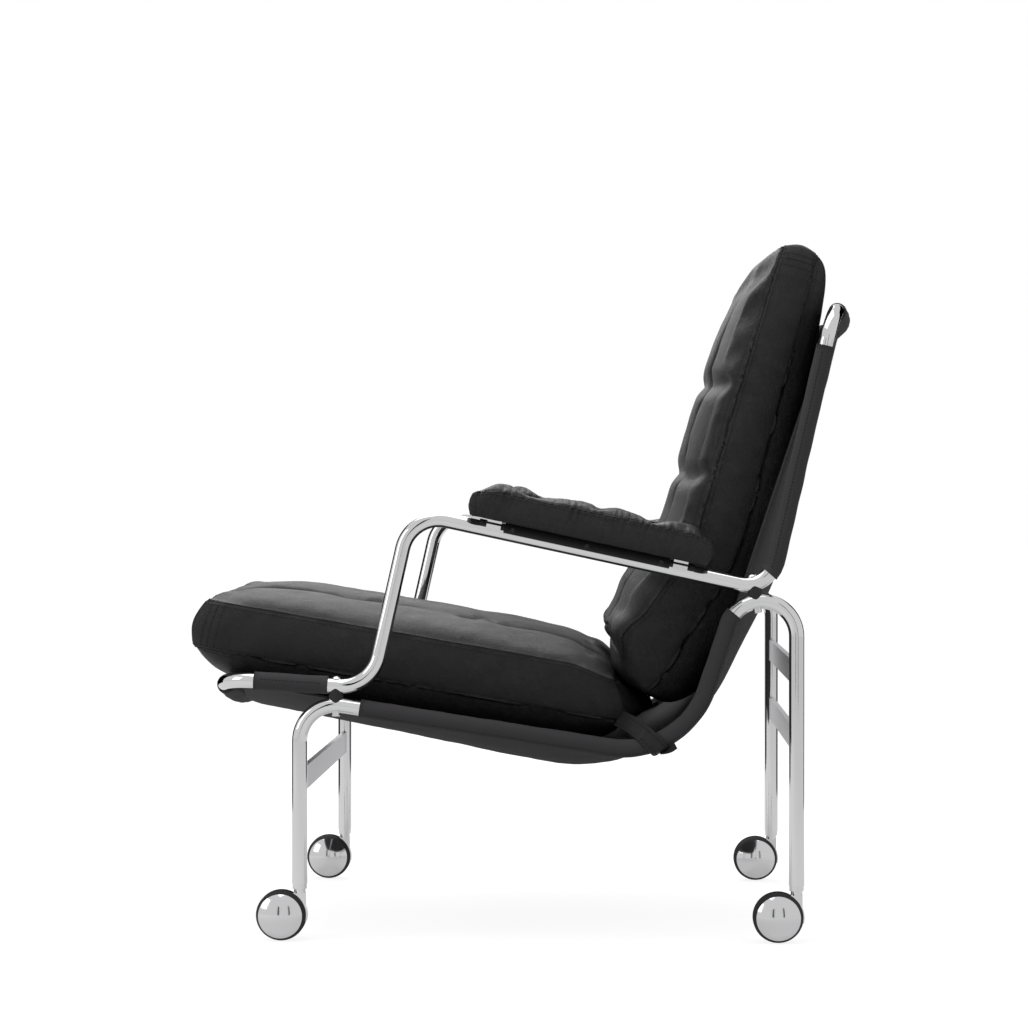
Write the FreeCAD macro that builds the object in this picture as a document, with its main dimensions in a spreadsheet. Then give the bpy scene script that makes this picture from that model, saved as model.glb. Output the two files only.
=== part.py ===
import FreeCAD, Part
import math
import os
import Sketcher

# Lounge chair on ball casters, in millimetres.
# Up is +Z, the front is -Y and the sitter's left is +X. The floor is Z = 0.
# Two bent tubes lie in one upright plane on each side: a leg tube, and an arm tube that
# crosses it twice. Saddle spacers and bolts hold them apart where they cross.

Vector = FreeCAD.Vector
TINY = 1e-6

SIZES = (
    ("track", 640.0, "between the upright planes of the two sides, axis to axis"),
    ("tube_outer", 20.0, "outside diameter of every bent tube"),
    ("tube_wall", 2.0, "wall of every bent tube"),
    ("leg_front_y", -296.0, "axis of the front legs"),
    ("leg_rear_y", 352.0, "axis of the rear legs"),
    ("leg_foot_z", 74.0, "lower end of the leg tubes"),
    ("knee_z", 315.5, "corner of front leg and seat rail"),
    ("knee_bend", 47.5, "bend radius there, on the tube's axis"),
    ("seat_corner_y", 204.9, "corner of seat rail and lower back"),
    ("seat_corner_z", 238.0, "its height"),
    ("seat_corner_bend", 115.0, "bend radius there"),
    ("lower_back_rise", 71.5, "angle of the lower back above level, degrees"),
    ("hairpin_bend", 45.5, "bend radius at the top of the rear legs"),
    ("front_rail_y", -399.7, "axis of the front rail"),
    ("front_rail_z", 342.0, "its height at the corners"),
    ("front_rail_bow", 38.0, "how far it dips at mid-width"),
    ("top_rail_y", 400.5, "axis of the top rail at the corners"),
    ("top_rail_z", 824.5, "its height"),
    ("top_rail_bow", 28.0, "how far it bows back at mid-width"),
    ("rail_bend", 47.0, "bend radius at both rails' corners"),
    ("riser_foot_y", -202.2, "corner of front run and arm riser"),
    ("riser_foot_z", 329.5, "its height"),
    ("riser_foot_bend", 50.0, "bend radius there"),
    ("riser_top_y", -150.4, "corner of riser and arm"),
    ("riser_top_z", 558.7, "its height"),
    ("riser_top_bend", 48.0, "bend radius there"),
    ("arm_rear_y", 316.8, "corner of arm and back upright"),
    ("arm_rear_z", 458.0, "its height"),
    ("arm_rear_bend", 40.0, "bend radius there"),
    ("front_joint_run", 89.7, "hidden joint with the arm tube, behind the front rail's corner"),
    ("top_joint_drop", 89.5, "hidden joint with the arm tube, below the top rail's corner"),
    ("spigot_length", 70.0, "plug inside each hidden joint"),
    ("front_crossing_y", -248.0, "where the tubes cross at the front"),
    ("rear_crossing_y", 296.0, "where the tubes cross at the rear"),
    ("saddle_width", 19.0, "diameter of the spacers at the crossings"),
    ("bolt_shank", 6.0, "diameter of the crossing bolts"),
    ("bolt_play", 0.2, "radial play of the bolts in their holes"),
    ("bolt_head", 13.0, "diameter of their domed heads"),
    ("bolt_head_height", 3.4, "height of the heads above the tube"),
    ("bolt_nut_height", 5.0, "height of the domed nuts below the tube"),
    ("bar_height", 31.0, "height of the flat crossbars"),
    ("bar_thickness", 7.0, "their thickness"),
    ("front_bar_z", 207.5, "middle of the front crossbar"),
    ("upper_bar_z", 349.0, "middle of the upper rear crossbar"),
    ("lower_bar_z", 261.5, "middle of the lower rear crossbar"),
    ("sleeve_play", 0.2, "between tube and canvas sleeve"),
    ("sleeve_wall", 1.6, "thickness of the sleeves' canvas"),
    ("front_sleeve_end", 11.0, "sleeve stops this far ahead of the front crossing"),
    ("seat_sleeve_start", 33.0, "sleeve starts this far behind the front crossing"),
    ("seat_sleeve_end", 40.0, "sleeve stops this far ahead of the rear crossing"),
    ("back_sleeve_start", 20.0, "sleeve starts this far behind the rear crossing"),
    ("top_sleeve_end", 3.0, "bare tube between sleeve or hem and a rail's bend"),
    ("panel_thickness", 3.0, "canvas panel, two plies"),
    ("panel_play", 0.3, "between panel and what it is sewn to"),
    ("sag_corner_y", 185.8, "corner of the panel's line at mid-width"),
    ("sag_corner_z", 178.0, "its height"),
    ("sag_corner_bend", 240.0, "its radius"),
    ("sag_back_y", 333.0, "upper corner of that line"),
    ("sag_back_z", 456.0, "its height"),
    ("sag_back_bend", 300.0, "its radius"),
    ("edge_rise", 210.0, "how far up the lower back the panel's edge follows it"),
    ("hem_drop", 6.0, "panel leaves the front hem this far below its axis"),
    ("seat_front_y", -442.0, "lower front seam of the seat cushion"),
    ("seat_front_z", 381.7, "its height"),
    ("seat_slope", 9.8, "fall of the seat cushion to the rear, degrees"),
    ("seat_to_back", 26.5, "its lower rear seam stops this far ahead of the back cushion's foot"),
    ("seat_side_gap", 40.0, "sides of the seat cushion, in from the side tubes' axes"),
    ("seat_side", 65.0, "between its two seams"),
    ("seat_rear_fall", 22.0, "how far the upper seam dips at the rear end"),
    ("seat_crown", 42.0, "top of the cushion above the upper seam"),
    ("seat_valley", 9.0, "depth of the lengthwise creases"),
    ("seat_tuft", 15.0, "further depth at a tuft"),
    ("seat_tuft_spread", 34.0, "how far round a tuft the top is drawn down"),
    ("seat_end_draw", 14.0, "how far the seams draw together at its ends"),
    ("seat_end_narrow", 10.0, "how far each side draws in at its ends"),
    ("seat_belly", 70.0, "most that its underside hangs where no panel carries it"),
    ("seat_belly_ease", 130.0, "length over which the underside fills out"),
    ("seat_fall_ease", 60.0, "length over which the rear dip starts"),
    ("seat_row_one", 197.0, "first row of tufts, from the front"),
    ("seat_row_two", 370.0, "second row of tufts"),
    ("tuft_column", 110.0, "tuft columns, either side of the middle"),
    ("side_bulge", 7.0, "how far a cushion's side swells between its seams"),
    ("back_foot_y", 160.0, "lower rear seam of the back cushion"),
    ("back_foot_z", 313.0, "its height"),
    ("back_heel_y", 183.0, "where the cushion's line first bends"),
    ("back_heel_z", 331.0, "its height"),
    ("back_heel_bend", 130.0, "radius of that bend"),
    ("back_waist_y", 274.6, "where the cushion's line bends again"),
    ("back_waist_z", 483.3, "its height"),
    ("back_waist_bend", 450.0, "radius of that bend"),
    ("back_head_y", 383.0, "upper rear seam of the back cushion"),
    ("back_head_z", 900.0, "its height"),
    ("back_side_gap", 50.0, "sides of the back cushion, in from the side tubes' axes"),
    ("back_side", 61.0, "between its two seams, at the waist"),
    ("back_side_top", 46.0, "between its two seams, at the top"),
    ("back_crown", 40.0, "swell of its front between the ends"),
    ("back_end_crown", 18.0, "front of the cushion ahead of the seam at its ends"),
    ("back_valley", 9.0, "depth of its lengthwise creases"),
    ("back_tuft", 16.0, "further depth at a tuft"),
    ("back_tuft_spread", 30.0, "how far round a tuft the front is drawn in"),
    ("back_dip", 8.0, "depth of the fold across the front at each row of tufts"),
    ("back_end_draw", 10.0, "how far the seams draw together at its ends"),
    ("back_end_narrow", 12.0, "how far each side draws in at its ends"),
    ("back_belly", 24.0, "swell of its rear face above the foot"),
    ("back_foot_belly", 56.0, "further swell of its rear face at the foot"),
    ("back_belly_ease", 100.0, "length over which the rear face fills out"),
    ("back_row_one", 195.0, "first row of tufts, from the top"),
    ("back_row_two", 320.0, "second row of tufts"),
    ("back_row_three", 445.0, "third row of tufts"),
    ("cover_thickness", 1.6, "leather covers"),
    ("cover_play", 0.3, "between cover and core, and between cushions and canvas"),
    ("pad_middle", 234.0, "middle of the arm pad, along the arm from the riser's corner"),
    ("pad_length", 316.0, "length of the arm pad"),
    ("pad_half_width", 38.0, "half the width of the arm pad"),
    ("pad_side", 35.0, "height of its sides"),
    ("pad_crown", 10.0, "its crown"),
    ("pad_tuft", 4.0, "depth of the pulls along its middle"),
    ("pad_pitch", 80.0, "between those pulls"),
    ("pad_tuft_spread", 12.0, "how far along the pad a pull reaches"),
    ("pad_end_narrow", 10.0, "how far each side draws in at its ends"),
    ("pad_end_fall", 9.0, "how far the seam falls at its ends"),
    ("pad_tuck", 4.0, "how far the pad's floor stays inside its seam"),
    ("board_thickness", 8.0, "plywood inside the arm pad"),
    ("arm_saddle_length", 220.0, "black channel between arm and pad"),
    ("arm_saddle_wall", 4.0, "its wall"),
    ("arm_screw_pitch", 99.0, "between the small screws of the channel"),
    ("arm_screw_head", 6.0, "diameter of their heads"),
    ("arm_screw_shank", 3.0, "diameter of their shanks"),
    ("arm_screw_rise", 2.2, "height of their heads"),
    ("arm_screw_sink", 0.6, "how far the heads sit in the channel"),
    ("arm_screw_turn", 22.0, "how far round from level they sit, degrees"),
    ("pad_screw_pitch", 140.0, "between the two hidden screws of a pad"),
    ("pad_screw_head", 7.2, "diameter of their heads"),
    ("pad_screw_shank", 3.6, "diameter of their shanks"),
    ("pad_screw_cone", 2.2, "height of their countersunk heads"),
    ("clip_gap", 0.5, "between each end of the channel and a chrome clip"),
    ("clip_length", 33.0, "length of the clips"),
    ("clip_wall", 2.0, "their wall round the tube"),
    ("clip_block_start", 4.0, "block of a clip, from the end that faces the channel"),
    ("clip_block_length", 19.0, "length of the block"),
    ("clip_block_half", 13.5, "half its width"),
    ("clip_block_low", 1.5, "its lower face above the tube's axis"),
    ("clip_block_high", 8.8, "its upper face above the tube's axis"),
    ("clip_block_edge", 1.2, "its bevelled edges"),
    ("clip_foot_half", 6.0, "half the width of the foot that the pad rests on"),
    ("strap_width", 25.0, "leather straps at the seat cushion's rear corners"),
    ("strap_thickness", 2.4, "their thickness"),
    ("strap_y", 172.0, "where a strap goes round the seat rail"),
    ("strap_tail", 14.0, "free end of a strap"),
    ("strap_tail_turn", -12.0, "where the free end leaves the rail, degrees above level"),
    ("strap_start_across", 46.0, "start of a strap, in from the rail's axis"),
    ("strap_start_up", 44.0, "its height above the rail's axis"),
    ("strap_play", 0.8, "between strap and sleeve, and round the strap in its slot"),
    ("wheel_radius", 33.4, "ball of the caster over the treads"),
    ("wheel_gap", 6.0, "inner face of a wheel half from the middle"),
    ("wheel_rim", 17.0, "outer face of the tread from the middle"),
    ("wheel_trail", 24.0, "wheel axle ahead of the swivel axis"),
    ("dome_reach", 27.5, "crest of the chrome dome from the middle"),
    ("dome_wall", 1.5, "wall of the dome"),
    ("axle_radius", 4.0, "wheel axle"),
    ("axle_play", 0.05, "running play of axle and stem"),
    ("horn_thickness", 11.0, "web of the fork between the wheel halves"),
    ("horn_proud", 0.7, "web stands proud of the treads"),
    ("horn_hub", 11.0, "radius of the web round the axle"),
    ("neck_radius", 7.5, "neck of the fork"),
    ("neck_foot", 28.8, "lower end of the neck above the axle"),
    ("stem_radius", 5.5, "stem of the fork"),
    ("stem_length", 34.0, "stem above the ferrule's lower face"),
    ("ferrule_radius", 9.3, "ferrule at the leg's end"),
    ("ferrule_height", 6.5, "its height"),
    ("socket_depth", 40.0, "socket inside the leg"),
    ("swivel_play", 0.3, "between ferrule and neck"),
)

doc = FreeCAD.newDocument("LoungeChair")
sheet = doc.addObject("Spreadsheet::Sheet", "Sizes")
for row, (alias, value, note) in enumerate(SIZES, start=1):
    sheet.set(f"A{row}", note)
    sheet.set(f"B{row}", str(value))
    sheet.setAlias(f"B{row}", alias)
doc.recompute()

finished = {}


def size(alias):
    """The number in the sheet's cell of that name."""
    return float(sheet.get(alias))


def finish(node, label):
    """Names a finished sub-part and keeps it for the export."""
    node.Label = label
    finished[label] = node
    return node


def shaped(label, shape, place=None):
    """A sub-part whose shape is computed from the sheet."""
    node = doc.addObject("Part::Feature", label)
    node.Shape = shape
    node.Placement = place or FreeCAD.Placement()
    return finish(node, label)


# Routes of straight runs and tangent arcs


class Route:
    """Straight runs joined by tangent arcs, measured along their length."""

    def __init__(self, edges):
        self.edges = edges
        self.total = sum(edge.Length for edge in edges)

    def wire(self):
        return Part.Wire(self.edges)

    def at(self, distance):
        """The point and the heading this far along."""
        for edge in self.edges:
            if distance <= edge.Length + TINY:
                parameter = edge.getParameterByLength(max(0.0, min(distance, edge.Length)))
                return edge.valueAt(parameter), edge.tangentAt(parameter)
            distance -= edge.Length
        last = self.edges[-1]
        return last.valueAt(last.LastParameter), last.tangentAt(last.LastParameter)

    def stretch(self, start, stop):
        """The part of the route between two distances."""
        pieces = []
        passed = 0.0
        for edge in self.edges:
            low = max(start - passed, 0.0)
            high = min(stop - passed, edge.Length)
            if high - low > TINY:
                first = edge.getParameterByLength(low)
                last = edge.getParameterByLength(high)
                pieces.append(edge.Curve.toShape(first, last))
            passed += edge.Length
        return Route(pieces)

    def reach(self, point):
        """How far along the route its nearest place to a point is."""
        probe = Part.Vertex(point)
        best = None
        passed = 0.0
        for edge in self.edges:
            gap, places, _ = edge.distToShape(probe)
            if best is None or gap < best[0]:
                spot = edge.Curve.parameter(places[0][0])
                part = 0.0
                if spot - edge.FirstParameter > TINY:
                    part = edge.Curve.length(edge.FirstParameter, min(spot, edge.LastParameter))
                best = (gap, passed + part)
            passed += edge.Length
        return best[1]

    def reach_y(self, y, after=0.0):
        """How far along the route first passes a depth y, searched after a distance."""
        step = 0.5
        distance = after
        before = self.at(distance)[0].y - y
        while distance < self.total:
            distance += step
            now = self.at(distance)[0].y - y
            if before * now <= 0:
                return distance - step * abs(now) / max(abs(now) + abs(before), TINY)
            before = now
        return self.total


def rounded(corners, radii):
    """A route through corners, each inner one rounded by an arc of its radius."""
    edges = []
    start = corners[0]
    for before, corner, after, radius in zip(corners, corners[1:], corners[2:], radii):
        back = (before - corner).normalize()
        ahead = (after - corner).normalize()
        half = back.getAngle(ahead) / 2
        setback = radius / math.tan(half)
        inward = (back + ahead).normalize()
        centre = corner + inward * (radius / math.sin(half))
        entry = corner + back * setback
        leave = corner + ahead * setback
        edges.append(Part.LineSegment(start, entry).toShape())
        edges.append(Part.Arc(entry, centre - inward * radius, leave).toShape())
        start = leave
    edges.append(Part.LineSegment(start, corners[-1]).toShape())
    return Route(edges)


def rod(route, radius):
    """A round solid along a route."""
    start, heading = route.at(0)
    ring = Part.Wire(Part.makeCircle(radius, start, heading))
    return Part.Solid(route.wire().makePipeShell([ring], True, False))


def pipe(route, outer, inner):
    """A hollow round solid along a route."""
    return rod(route, outer).cut(rod(route, inner))


def side(y, z):
    """A point in a side's upright plane."""
    return Vector(0, y, z)


TUBE = size("tube_outer") / 2
BORE = TUBE - size("tube_wall")
HALF_TRACK = size("track") / 2
SLEEVE_IN = TUBE + size("sleeve_play")
SLEEVE_OUT = SLEEVE_IN + size("sleeve_wall")

# The corners of the arm tube and the leg tube, each as numbers and as the sheet's words

front_corner = side(size("front_rail_y"), size("front_rail_z"))
top_corner = side(size("top_rail_y"), size("top_rail_z"))
riser_foot = side(size("riser_foot_y"), size("riser_foot_z"))
riser_top = side(size("riser_top_y"), size("riser_top_z"))
arm_rear = side(size("arm_rear_y"), size("arm_rear_z"))
seat_corner = side(size("seat_corner_y"), size("seat_corner_z"))
knee = side(size("leg_front_y"), size("knee_z"))

run_fall = (riser_foot.z - front_corner.z) / (riser_foot.y - front_corner.y)
front_joint = front_corner + side(1, run_fall) * size("front_joint_run")
upright_lean = (top_corner.y - arm_rear.y) / (top_corner.z - arm_rear.z)
top_joint = top_corner - side(upright_lean, 1) * size("top_joint_drop")
hairpin = side(
    size("leg_rear_y"),
    seat_corner.z
    + (size("leg_rear_y") - seat_corner.y) * math.tan(math.radians(size("lower_back_rise"))),
)

ARM_WORDS = (
    (
        "Sizes.front_rail_y + Sizes.front_joint_run",
        "Sizes.front_rail_z + Sizes.front_joint_run"
        " * (Sizes.riser_foot_z - Sizes.front_rail_z) / (Sizes.riser_foot_y - Sizes.front_rail_y)",
    ),
    ("Sizes.riser_foot_y", "Sizes.riser_foot_z"),
    ("Sizes.riser_top_y", "Sizes.riser_top_z"),
    ("Sizes.arm_rear_y", "Sizes.arm_rear_z"),
    (
        "Sizes.top_rail_y - Sizes.top_joint_drop"
        " * (Sizes.top_rail_y - Sizes.arm_rear_y) / (Sizes.top_rail_z - Sizes.arm_rear_z)",
        "Sizes.top_rail_z - Sizes.top_joint_drop",
    ),
)
LEG_WORDS = (
    ("Sizes.leg_front_y", "Sizes.leg_foot_z"),
    ("Sizes.leg_front_y", "Sizes.knee_z"),
    ("Sizes.seat_corner_y", "Sizes.seat_corner_z"),
    (
        "Sizes.leg_rear_y",
        "Sizes.seat_corner_z + (Sizes.leg_rear_y - Sizes.seat_corner_y)"
        " * tan(Sizes.lower_back_rise * 1 deg)",
    ),
    ("Sizes.leg_rear_y", "Sizes.leg_foot_z"),
)
ARM_BENDS = ("riser_foot_bend", "riser_top_bend", "arm_rear_bend")
LEG_BENDS = ("knee_bend", "seat_corner_bend", "hairpin_bend")

arm_corners = [front_joint, riser_foot, riser_top, arm_rear, top_joint]
leg_corners = [
    side(size("leg_front_y"), size("leg_foot_z")),
    knee,
    seat_corner,
    hairpin,
    side(size("leg_rear_y"), size("leg_foot_z")),
]
arm_route = rounded(arm_corners, [size(bend) for bend in ARM_BENDS])
leg_route = rounded(leg_corners, [size(bend) for bend in LEG_BENDS])


# Bent tubes, each a pipe along a sketched path


def origin_plane(body, role):
    for feature in body.Origin.OriginFeatures:
        if feature.Role == role:
            return feature
    raise RuntimeError("no plane " + role)


def path_sketch(body, corners, words, bends):
    """A path of lines and tangent arcs, bound corner by corner to the sheet."""
    sketch = body.newObject("Sketcher::SketchObject", "Path")
    sketch.AttachmentSupport = [(origin_plane(body, "YZ_Plane"), "")]
    sketch.MapMode = "FlatFace"
    flat = [Vector(corner.y, corner.z, 0) for corner in corners]
    guides = []
    for start, stop in zip(flat, flat[1:]):
        guides.append(sketch.addGeometry(Part.LineSegment(start, stop), True))
    for before, after in zip(guides, guides[1:]):
        sketch.addConstraint(Sketcher.Constraint("Coincident", before, 2, after, 1))
    ends = [(guides[0], 1)] + [(guide, 2) for guide in guides]
    for (guide, end), corner, (word_y, word_z) in zip(ends, flat, words):
        row = sketch.addConstraint(Sketcher.Constraint("DistanceX", -1, 1, guide, end, corner.x))
        sketch.setExpression(f"Constraints[{row}]", word_y)
        row = sketch.addConstraint(Sketcher.Constraint("DistanceY", -1, 1, guide, end, corner.y))
        sketch.setExpression(f"Constraints[{row}]", word_z)
    lines = []
    arcs = []
    start = flat[0]
    for before, corner, after, bend in zip(flat, flat[1:], flat[2:], bends):
        radius = size(bend)
        back = (before - corner).normalize()
        ahead = (after - corner).normalize()
        half = back.getAngle(ahead) / 2
        centre = corner + (back + ahead).normalize() * (radius / math.sin(half))
        entry = corner + back * (radius / math.tan(half))
        leave = corner + ahead * (radius / math.tan(half))
        lines.append(sketch.addGeometry(Part.LineSegment(start, entry), False))
        turns_left = back.cross(ahead).z < 0
        first, last = (entry, leave) if turns_left else (leave, entry)
        low = math.atan2(first.y - centre.y, first.x - centre.x)
        high = math.atan2(last.y - centre.y, last.x - centre.x)
        circle = Part.Circle(centre, Vector(0, 0, 1), radius)
        arc = sketch.addGeometry(Part.ArcOfCircle(circle, low, high), False)
        arcs.append((arc, 1 if turns_left else 2, 2 if turns_left else 1))
        row = sketch.addConstraint(Sketcher.Constraint("Radius", arc, radius))
        sketch.setExpression(f"Constraints[{row}]", "Sizes." + bend)
        start = leave
    lines.append(sketch.addGeometry(Part.LineSegment(start, flat[-1]), False))
    sketch.addConstraint(Sketcher.Constraint("Coincident", lines[0], 1, guides[0], 1))
    sketch.addConstraint(Sketcher.Constraint("Coincident", lines[-1], 2, guides[-1], 2))
    for index, (line, guide) in enumerate(zip(lines, guides)):
        if index > 0:
            sketch.addConstraint(Sketcher.Constraint("PointOnObject", line, 1, guide))
        if index < len(lines) - 1:
            sketch.addConstraint(Sketcher.Constraint("PointOnObject", line, 2, guide))
    for (arc, entry_end, leave_end), before, after in zip(arcs, lines, lines[1:]):
        sketch.addConstraint(Sketcher.Constraint("Tangent", before, 2, arc, entry_end))
        sketch.addConstraint(Sketcher.Constraint("Tangent", arc, leave_end, after, 1))
    return sketch


def bent_tube(label, corners, words, bends, side_word, drills):
    """A bent tube in one side's plane, with the holes of its crossing bolts."""
    body = doc.addObject("PartDesign::Body", label + "_bend")
    path = path_sketch(body, corners, words, bends)
    doc.recompute()
    section = body.newObject("Sketcher::SketchObject", "Section")
    section.AttachmentSupport = [(path, "Edge1")]
    section.MapMode = "NormalToEdge"
    section.MapPathParameter = 0.0
    for radius, word in (
        (TUBE, "Sizes.tube_outer / 2"),
        (BORE, "Sizes.tube_outer / 2 - Sizes.tube_wall"),
    ):
        circle = Part.Circle(Vector(0, 0, 0), Vector(0, 0, 1), radius)
        ring = section.addGeometry(circle, False)
        section.addConstraint(Sketcher.Constraint("Coincident", ring, 3, -1, 1))
        row = section.addConstraint(Sketcher.Constraint("Radius", ring, radius))
        section.setExpression(f"Constraints[{row}]", word)
    doc.recompute()
    sweep = body.newObject("PartDesign::AdditivePipe", "Sweep")
    sweep.Profile = section
    sweep.Spine = (path, [f"Edge{index + 1}" for index in range(len(path.Shape.Edges))])
    sweep.Transition = "Right corner"
    body.Tip = sweep
    body.setExpression(".Placement.Base.x", side_word)
    holes = []
    for number, (low, high, radius_word) in enumerate(drills, start=1):
        drill = doc.addObject("Part::Cylinder", f"{label}_drill_{number}")
        drill.setExpression("Radius", radius_word)
        drill.Height = (high - low).Length
        turn = FreeCAD.Rotation(Vector(0, 0, 1), high - low)
        drill.Placement = FreeCAD.Placement(low, turn)
        drill.setExpression(".Placement.Base.x", side_word)
        holes.append(drill)
    drilled = doc.addObject("Part::MultiFuse", label + "_drills")
    drilled.Shapes = holes
    cut = doc.addObject("Part::Cut", label + "_drilled")
    cut.Base = body
    cut.Tool = drilled
    return finish(cut, label)


# Crossings: an axis through both tubes, a saddle between them, a bolt and its nut


def crossing(y, after):
    """The crossing's point on the arm tube and its nearest point on the leg tube."""
    upper = arm_route.at(arm_route.reach_y(y, after))[0]
    lower = leg_route.at(leg_route.reach(upper))[0]
    return upper, lower


front_upper, front_lower = crossing(size("front_crossing_y"), 0.0)
rear_upper, rear_lower = crossing(size("rear_crossing_y"), arm_route.reach(riser_top))
CROSSINGS = (("front", front_upper, front_lower), ("rear", rear_upper, rear_lower))
SIDES = (("left", 1, "Sizes.track / 2"), ("right", -1, "-Sizes.track / 2"))


def drill_ends(upper, lower):
    """Both ends of a drilling through the two tubes, well clear of them."""
    rise = (upper - lower).normalize()
    word = "Sizes.bolt_shank / 2 + Sizes.bolt_play"
    return lower - rise * 2 * TUBE, upper + rise * 2 * TUBE, word


arm_heading = (arm_rear - riser_top).normalize()
arm_up = Vector(0, -arm_heading.z, arm_heading.y)
pad_centre = riser_top + arm_heading * size("pad_middle")
screw_steps = [step * size("arm_screw_pitch") for step in (-1, 0, 1)]


def screw_heading(sign):
    """Outward and a little upward, away from the tube's axis."""
    angle = math.radians(size("arm_screw_turn"))
    return Vector(sign * math.cos(angle), 0, 0) + arm_up * math.sin(angle)


def screw_drill(distance, sign):
    """A drilling from the arm tube's axis outward for one screw of the channel."""
    centre = pad_centre + arm_heading * distance
    word = "Sizes.arm_screw_shank / 2 + Sizes.cover_play / 2"
    return centre, centre + screw_heading(sign) * 2 * TUBE, word


DRILLS = [drill_ends(upper, lower) for _, upper, lower in CROSSINGS]
for side_name, sign, side_word in SIDES:
    arm_drills = DRILLS + [screw_drill(step, sign) for step in screw_steps]
    bent_tube(f"arm_tube_{side_name}", arm_corners, ARM_WORDS, ARM_BENDS, side_word, arm_drills)
    bent_tube(f"leg_tube_{side_name}", leg_corners, LEG_WORDS, LEG_BENDS, side_word, DRILLS)

arm_rod = rod(arm_route, TUBE)
leg_rod = rod(leg_route, TUBE)
SHANK = size("bolt_shank") / 2


def saddle_spacer(upper, lower):
    """A short round block, hollowed at both ends by the tubes that it holds apart."""
    rise = upper - lower
    block = Part.makeCylinder(size("saddle_width") / 2, rise.Length, lower, rise)
    block = block.cut(arm_rod).cut(leg_rod)
    return block.cut(Part.makeCylinder(SHANK + size("bolt_play"), rise.Length, lower, rise))


def crossing_bolt(upper, lower):
    """Shank through both tubes, with a low dome seated on the arm tube."""
    rise = (upper - lower).normalize()
    head_radius = size("bolt_head") / 2
    top = size("bolt_head_height")
    ball = (head_radius**2 + top**2) / (2 * top)
    crest = upper + rise * (TUBE + top)
    dome = Part.makeSphere(ball, crest - rise * ball)
    dome = dome.common(Part.makeCylinder(head_radius, 2 * top, crest - rise * 2 * top, rise))
    dome = dome.cut(arm_rod)
    foot = lower - rise * (TUBE + size("bolt_nut_height") * 0.6)
    shank = Part.makeCylinder(SHANK, (crest - foot).Length - top / 2, foot, rise)
    return dome.fuse(shank).removeSplitter()


def crossing_nut(upper, lower):
    """Domed nut seated under the leg tube, blind hole for the shank."""
    rise = (upper - lower).normalize()
    radius = size("bolt_head") / 2 - 1
    depth = size("bolt_nut_height")
    foot = lower - rise * (TUBE + depth)
    nut = Part.makeCylinder(radius, 1.6 * depth, foot, rise)
    nut = nut.makeFillet(depth * 0.3, [edge for edge in nut.Edges if on_foot(edge, foot)])
    nut = nut.cut(leg_rod)
    hole = Part.makeCylinder(SHANK, 2 * depth, lower - rise * (TUBE + depth * 0.6), rise)
    return nut.cut(hole)


def on_foot(edge, foot):
    """Whether a round edge is the rim about this centre."""
    return hasattr(edge.Curve, "Center") and (edge.Curve.Center - foot).Length < TINY * 1000


def at_side(sign):
    return FreeCAD.Placement(Vector(sign * HALF_TRACK, 0, 0), FreeCAD.Rotation())


for side_name, sign, _ in SIDES:
    for place_name, upper, lower in CROSSINGS:
        spacer = saddle_spacer(upper, lower)
        shaped(f"saddle_spacer_{place_name}_{side_name}", spacer, at_side(sign))


def both_sides(shapes):
    """Copies of the shapes in the planes of both sides, as one group of solids."""
    group = []
    for sign in (1, -1):
        for shape in shapes:
            group.append(shape.translated(Vector(sign * HALF_TRACK, 0, 0)))
    return Part.makeCompound(group)


bolts = [crossing_bolt(upper, lower) for _, upper, lower in CROSSINGS]
nuts = [crossing_nut(upper, lower) for _, upper, lower in CROSSINGS]
shaped("crossing_bolts", both_sides(bolts))
shaped("crossing_nuts", both_sides(nuts))

# Rails across the chair, and the plugs in their joints


def rail_route(joint, corner, bow):
    """From one hidden joint round both corners to the other, bowed by a vector at mid-width."""
    half = HALF_TRACK
    bend = size("rail_bend")
    straight = half - bend
    apex = corner + bow * (half / (half - straight / 2))
    corners = [
        Vector(-half, joint.y, joint.z),
        Vector(-half, corner.y, corner.z),
        apex,
        Vector(half, corner.y, corner.z),
        Vector(half, joint.y, joint.z),
    ]
    turn = math.atan2((apex - corner).Length, half)
    gentle = 0.96 * straight / math.cos(turn) / math.tan(turn)
    return rounded(corners, [bend, gentle, bend])


upright = (top_corner - arm_rear).normalize()
behind = Vector(0, upright.z, -upright.y)
front_rail_route = rail_route(front_joint, front_corner, Vector(0, 0, -size("front_rail_bow")))
top_rail_route = rail_route(top_joint, top_corner, behind * size("top_rail_bow"))
shaped("front_rail", pipe(front_rail_route, TUBE, BORE))
shaped("top_rail", pipe(top_rail_route, TUBE, BORE))


def spigot(joint, heading):
    """A plug centred in a joint of two tubes."""
    length = size("spigot_length")
    return Part.makeCylinder(BORE, length, joint - heading * (length / 2), heading)


run_heading = (riser_foot - front_corner).normalize()
spigots = [spigot(front_joint, run_heading), spigot(top_joint, upright)]
shaped("rail_spigots", both_sides(spigots))


# Crossbars, hollowed at their ends by the legs


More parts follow.
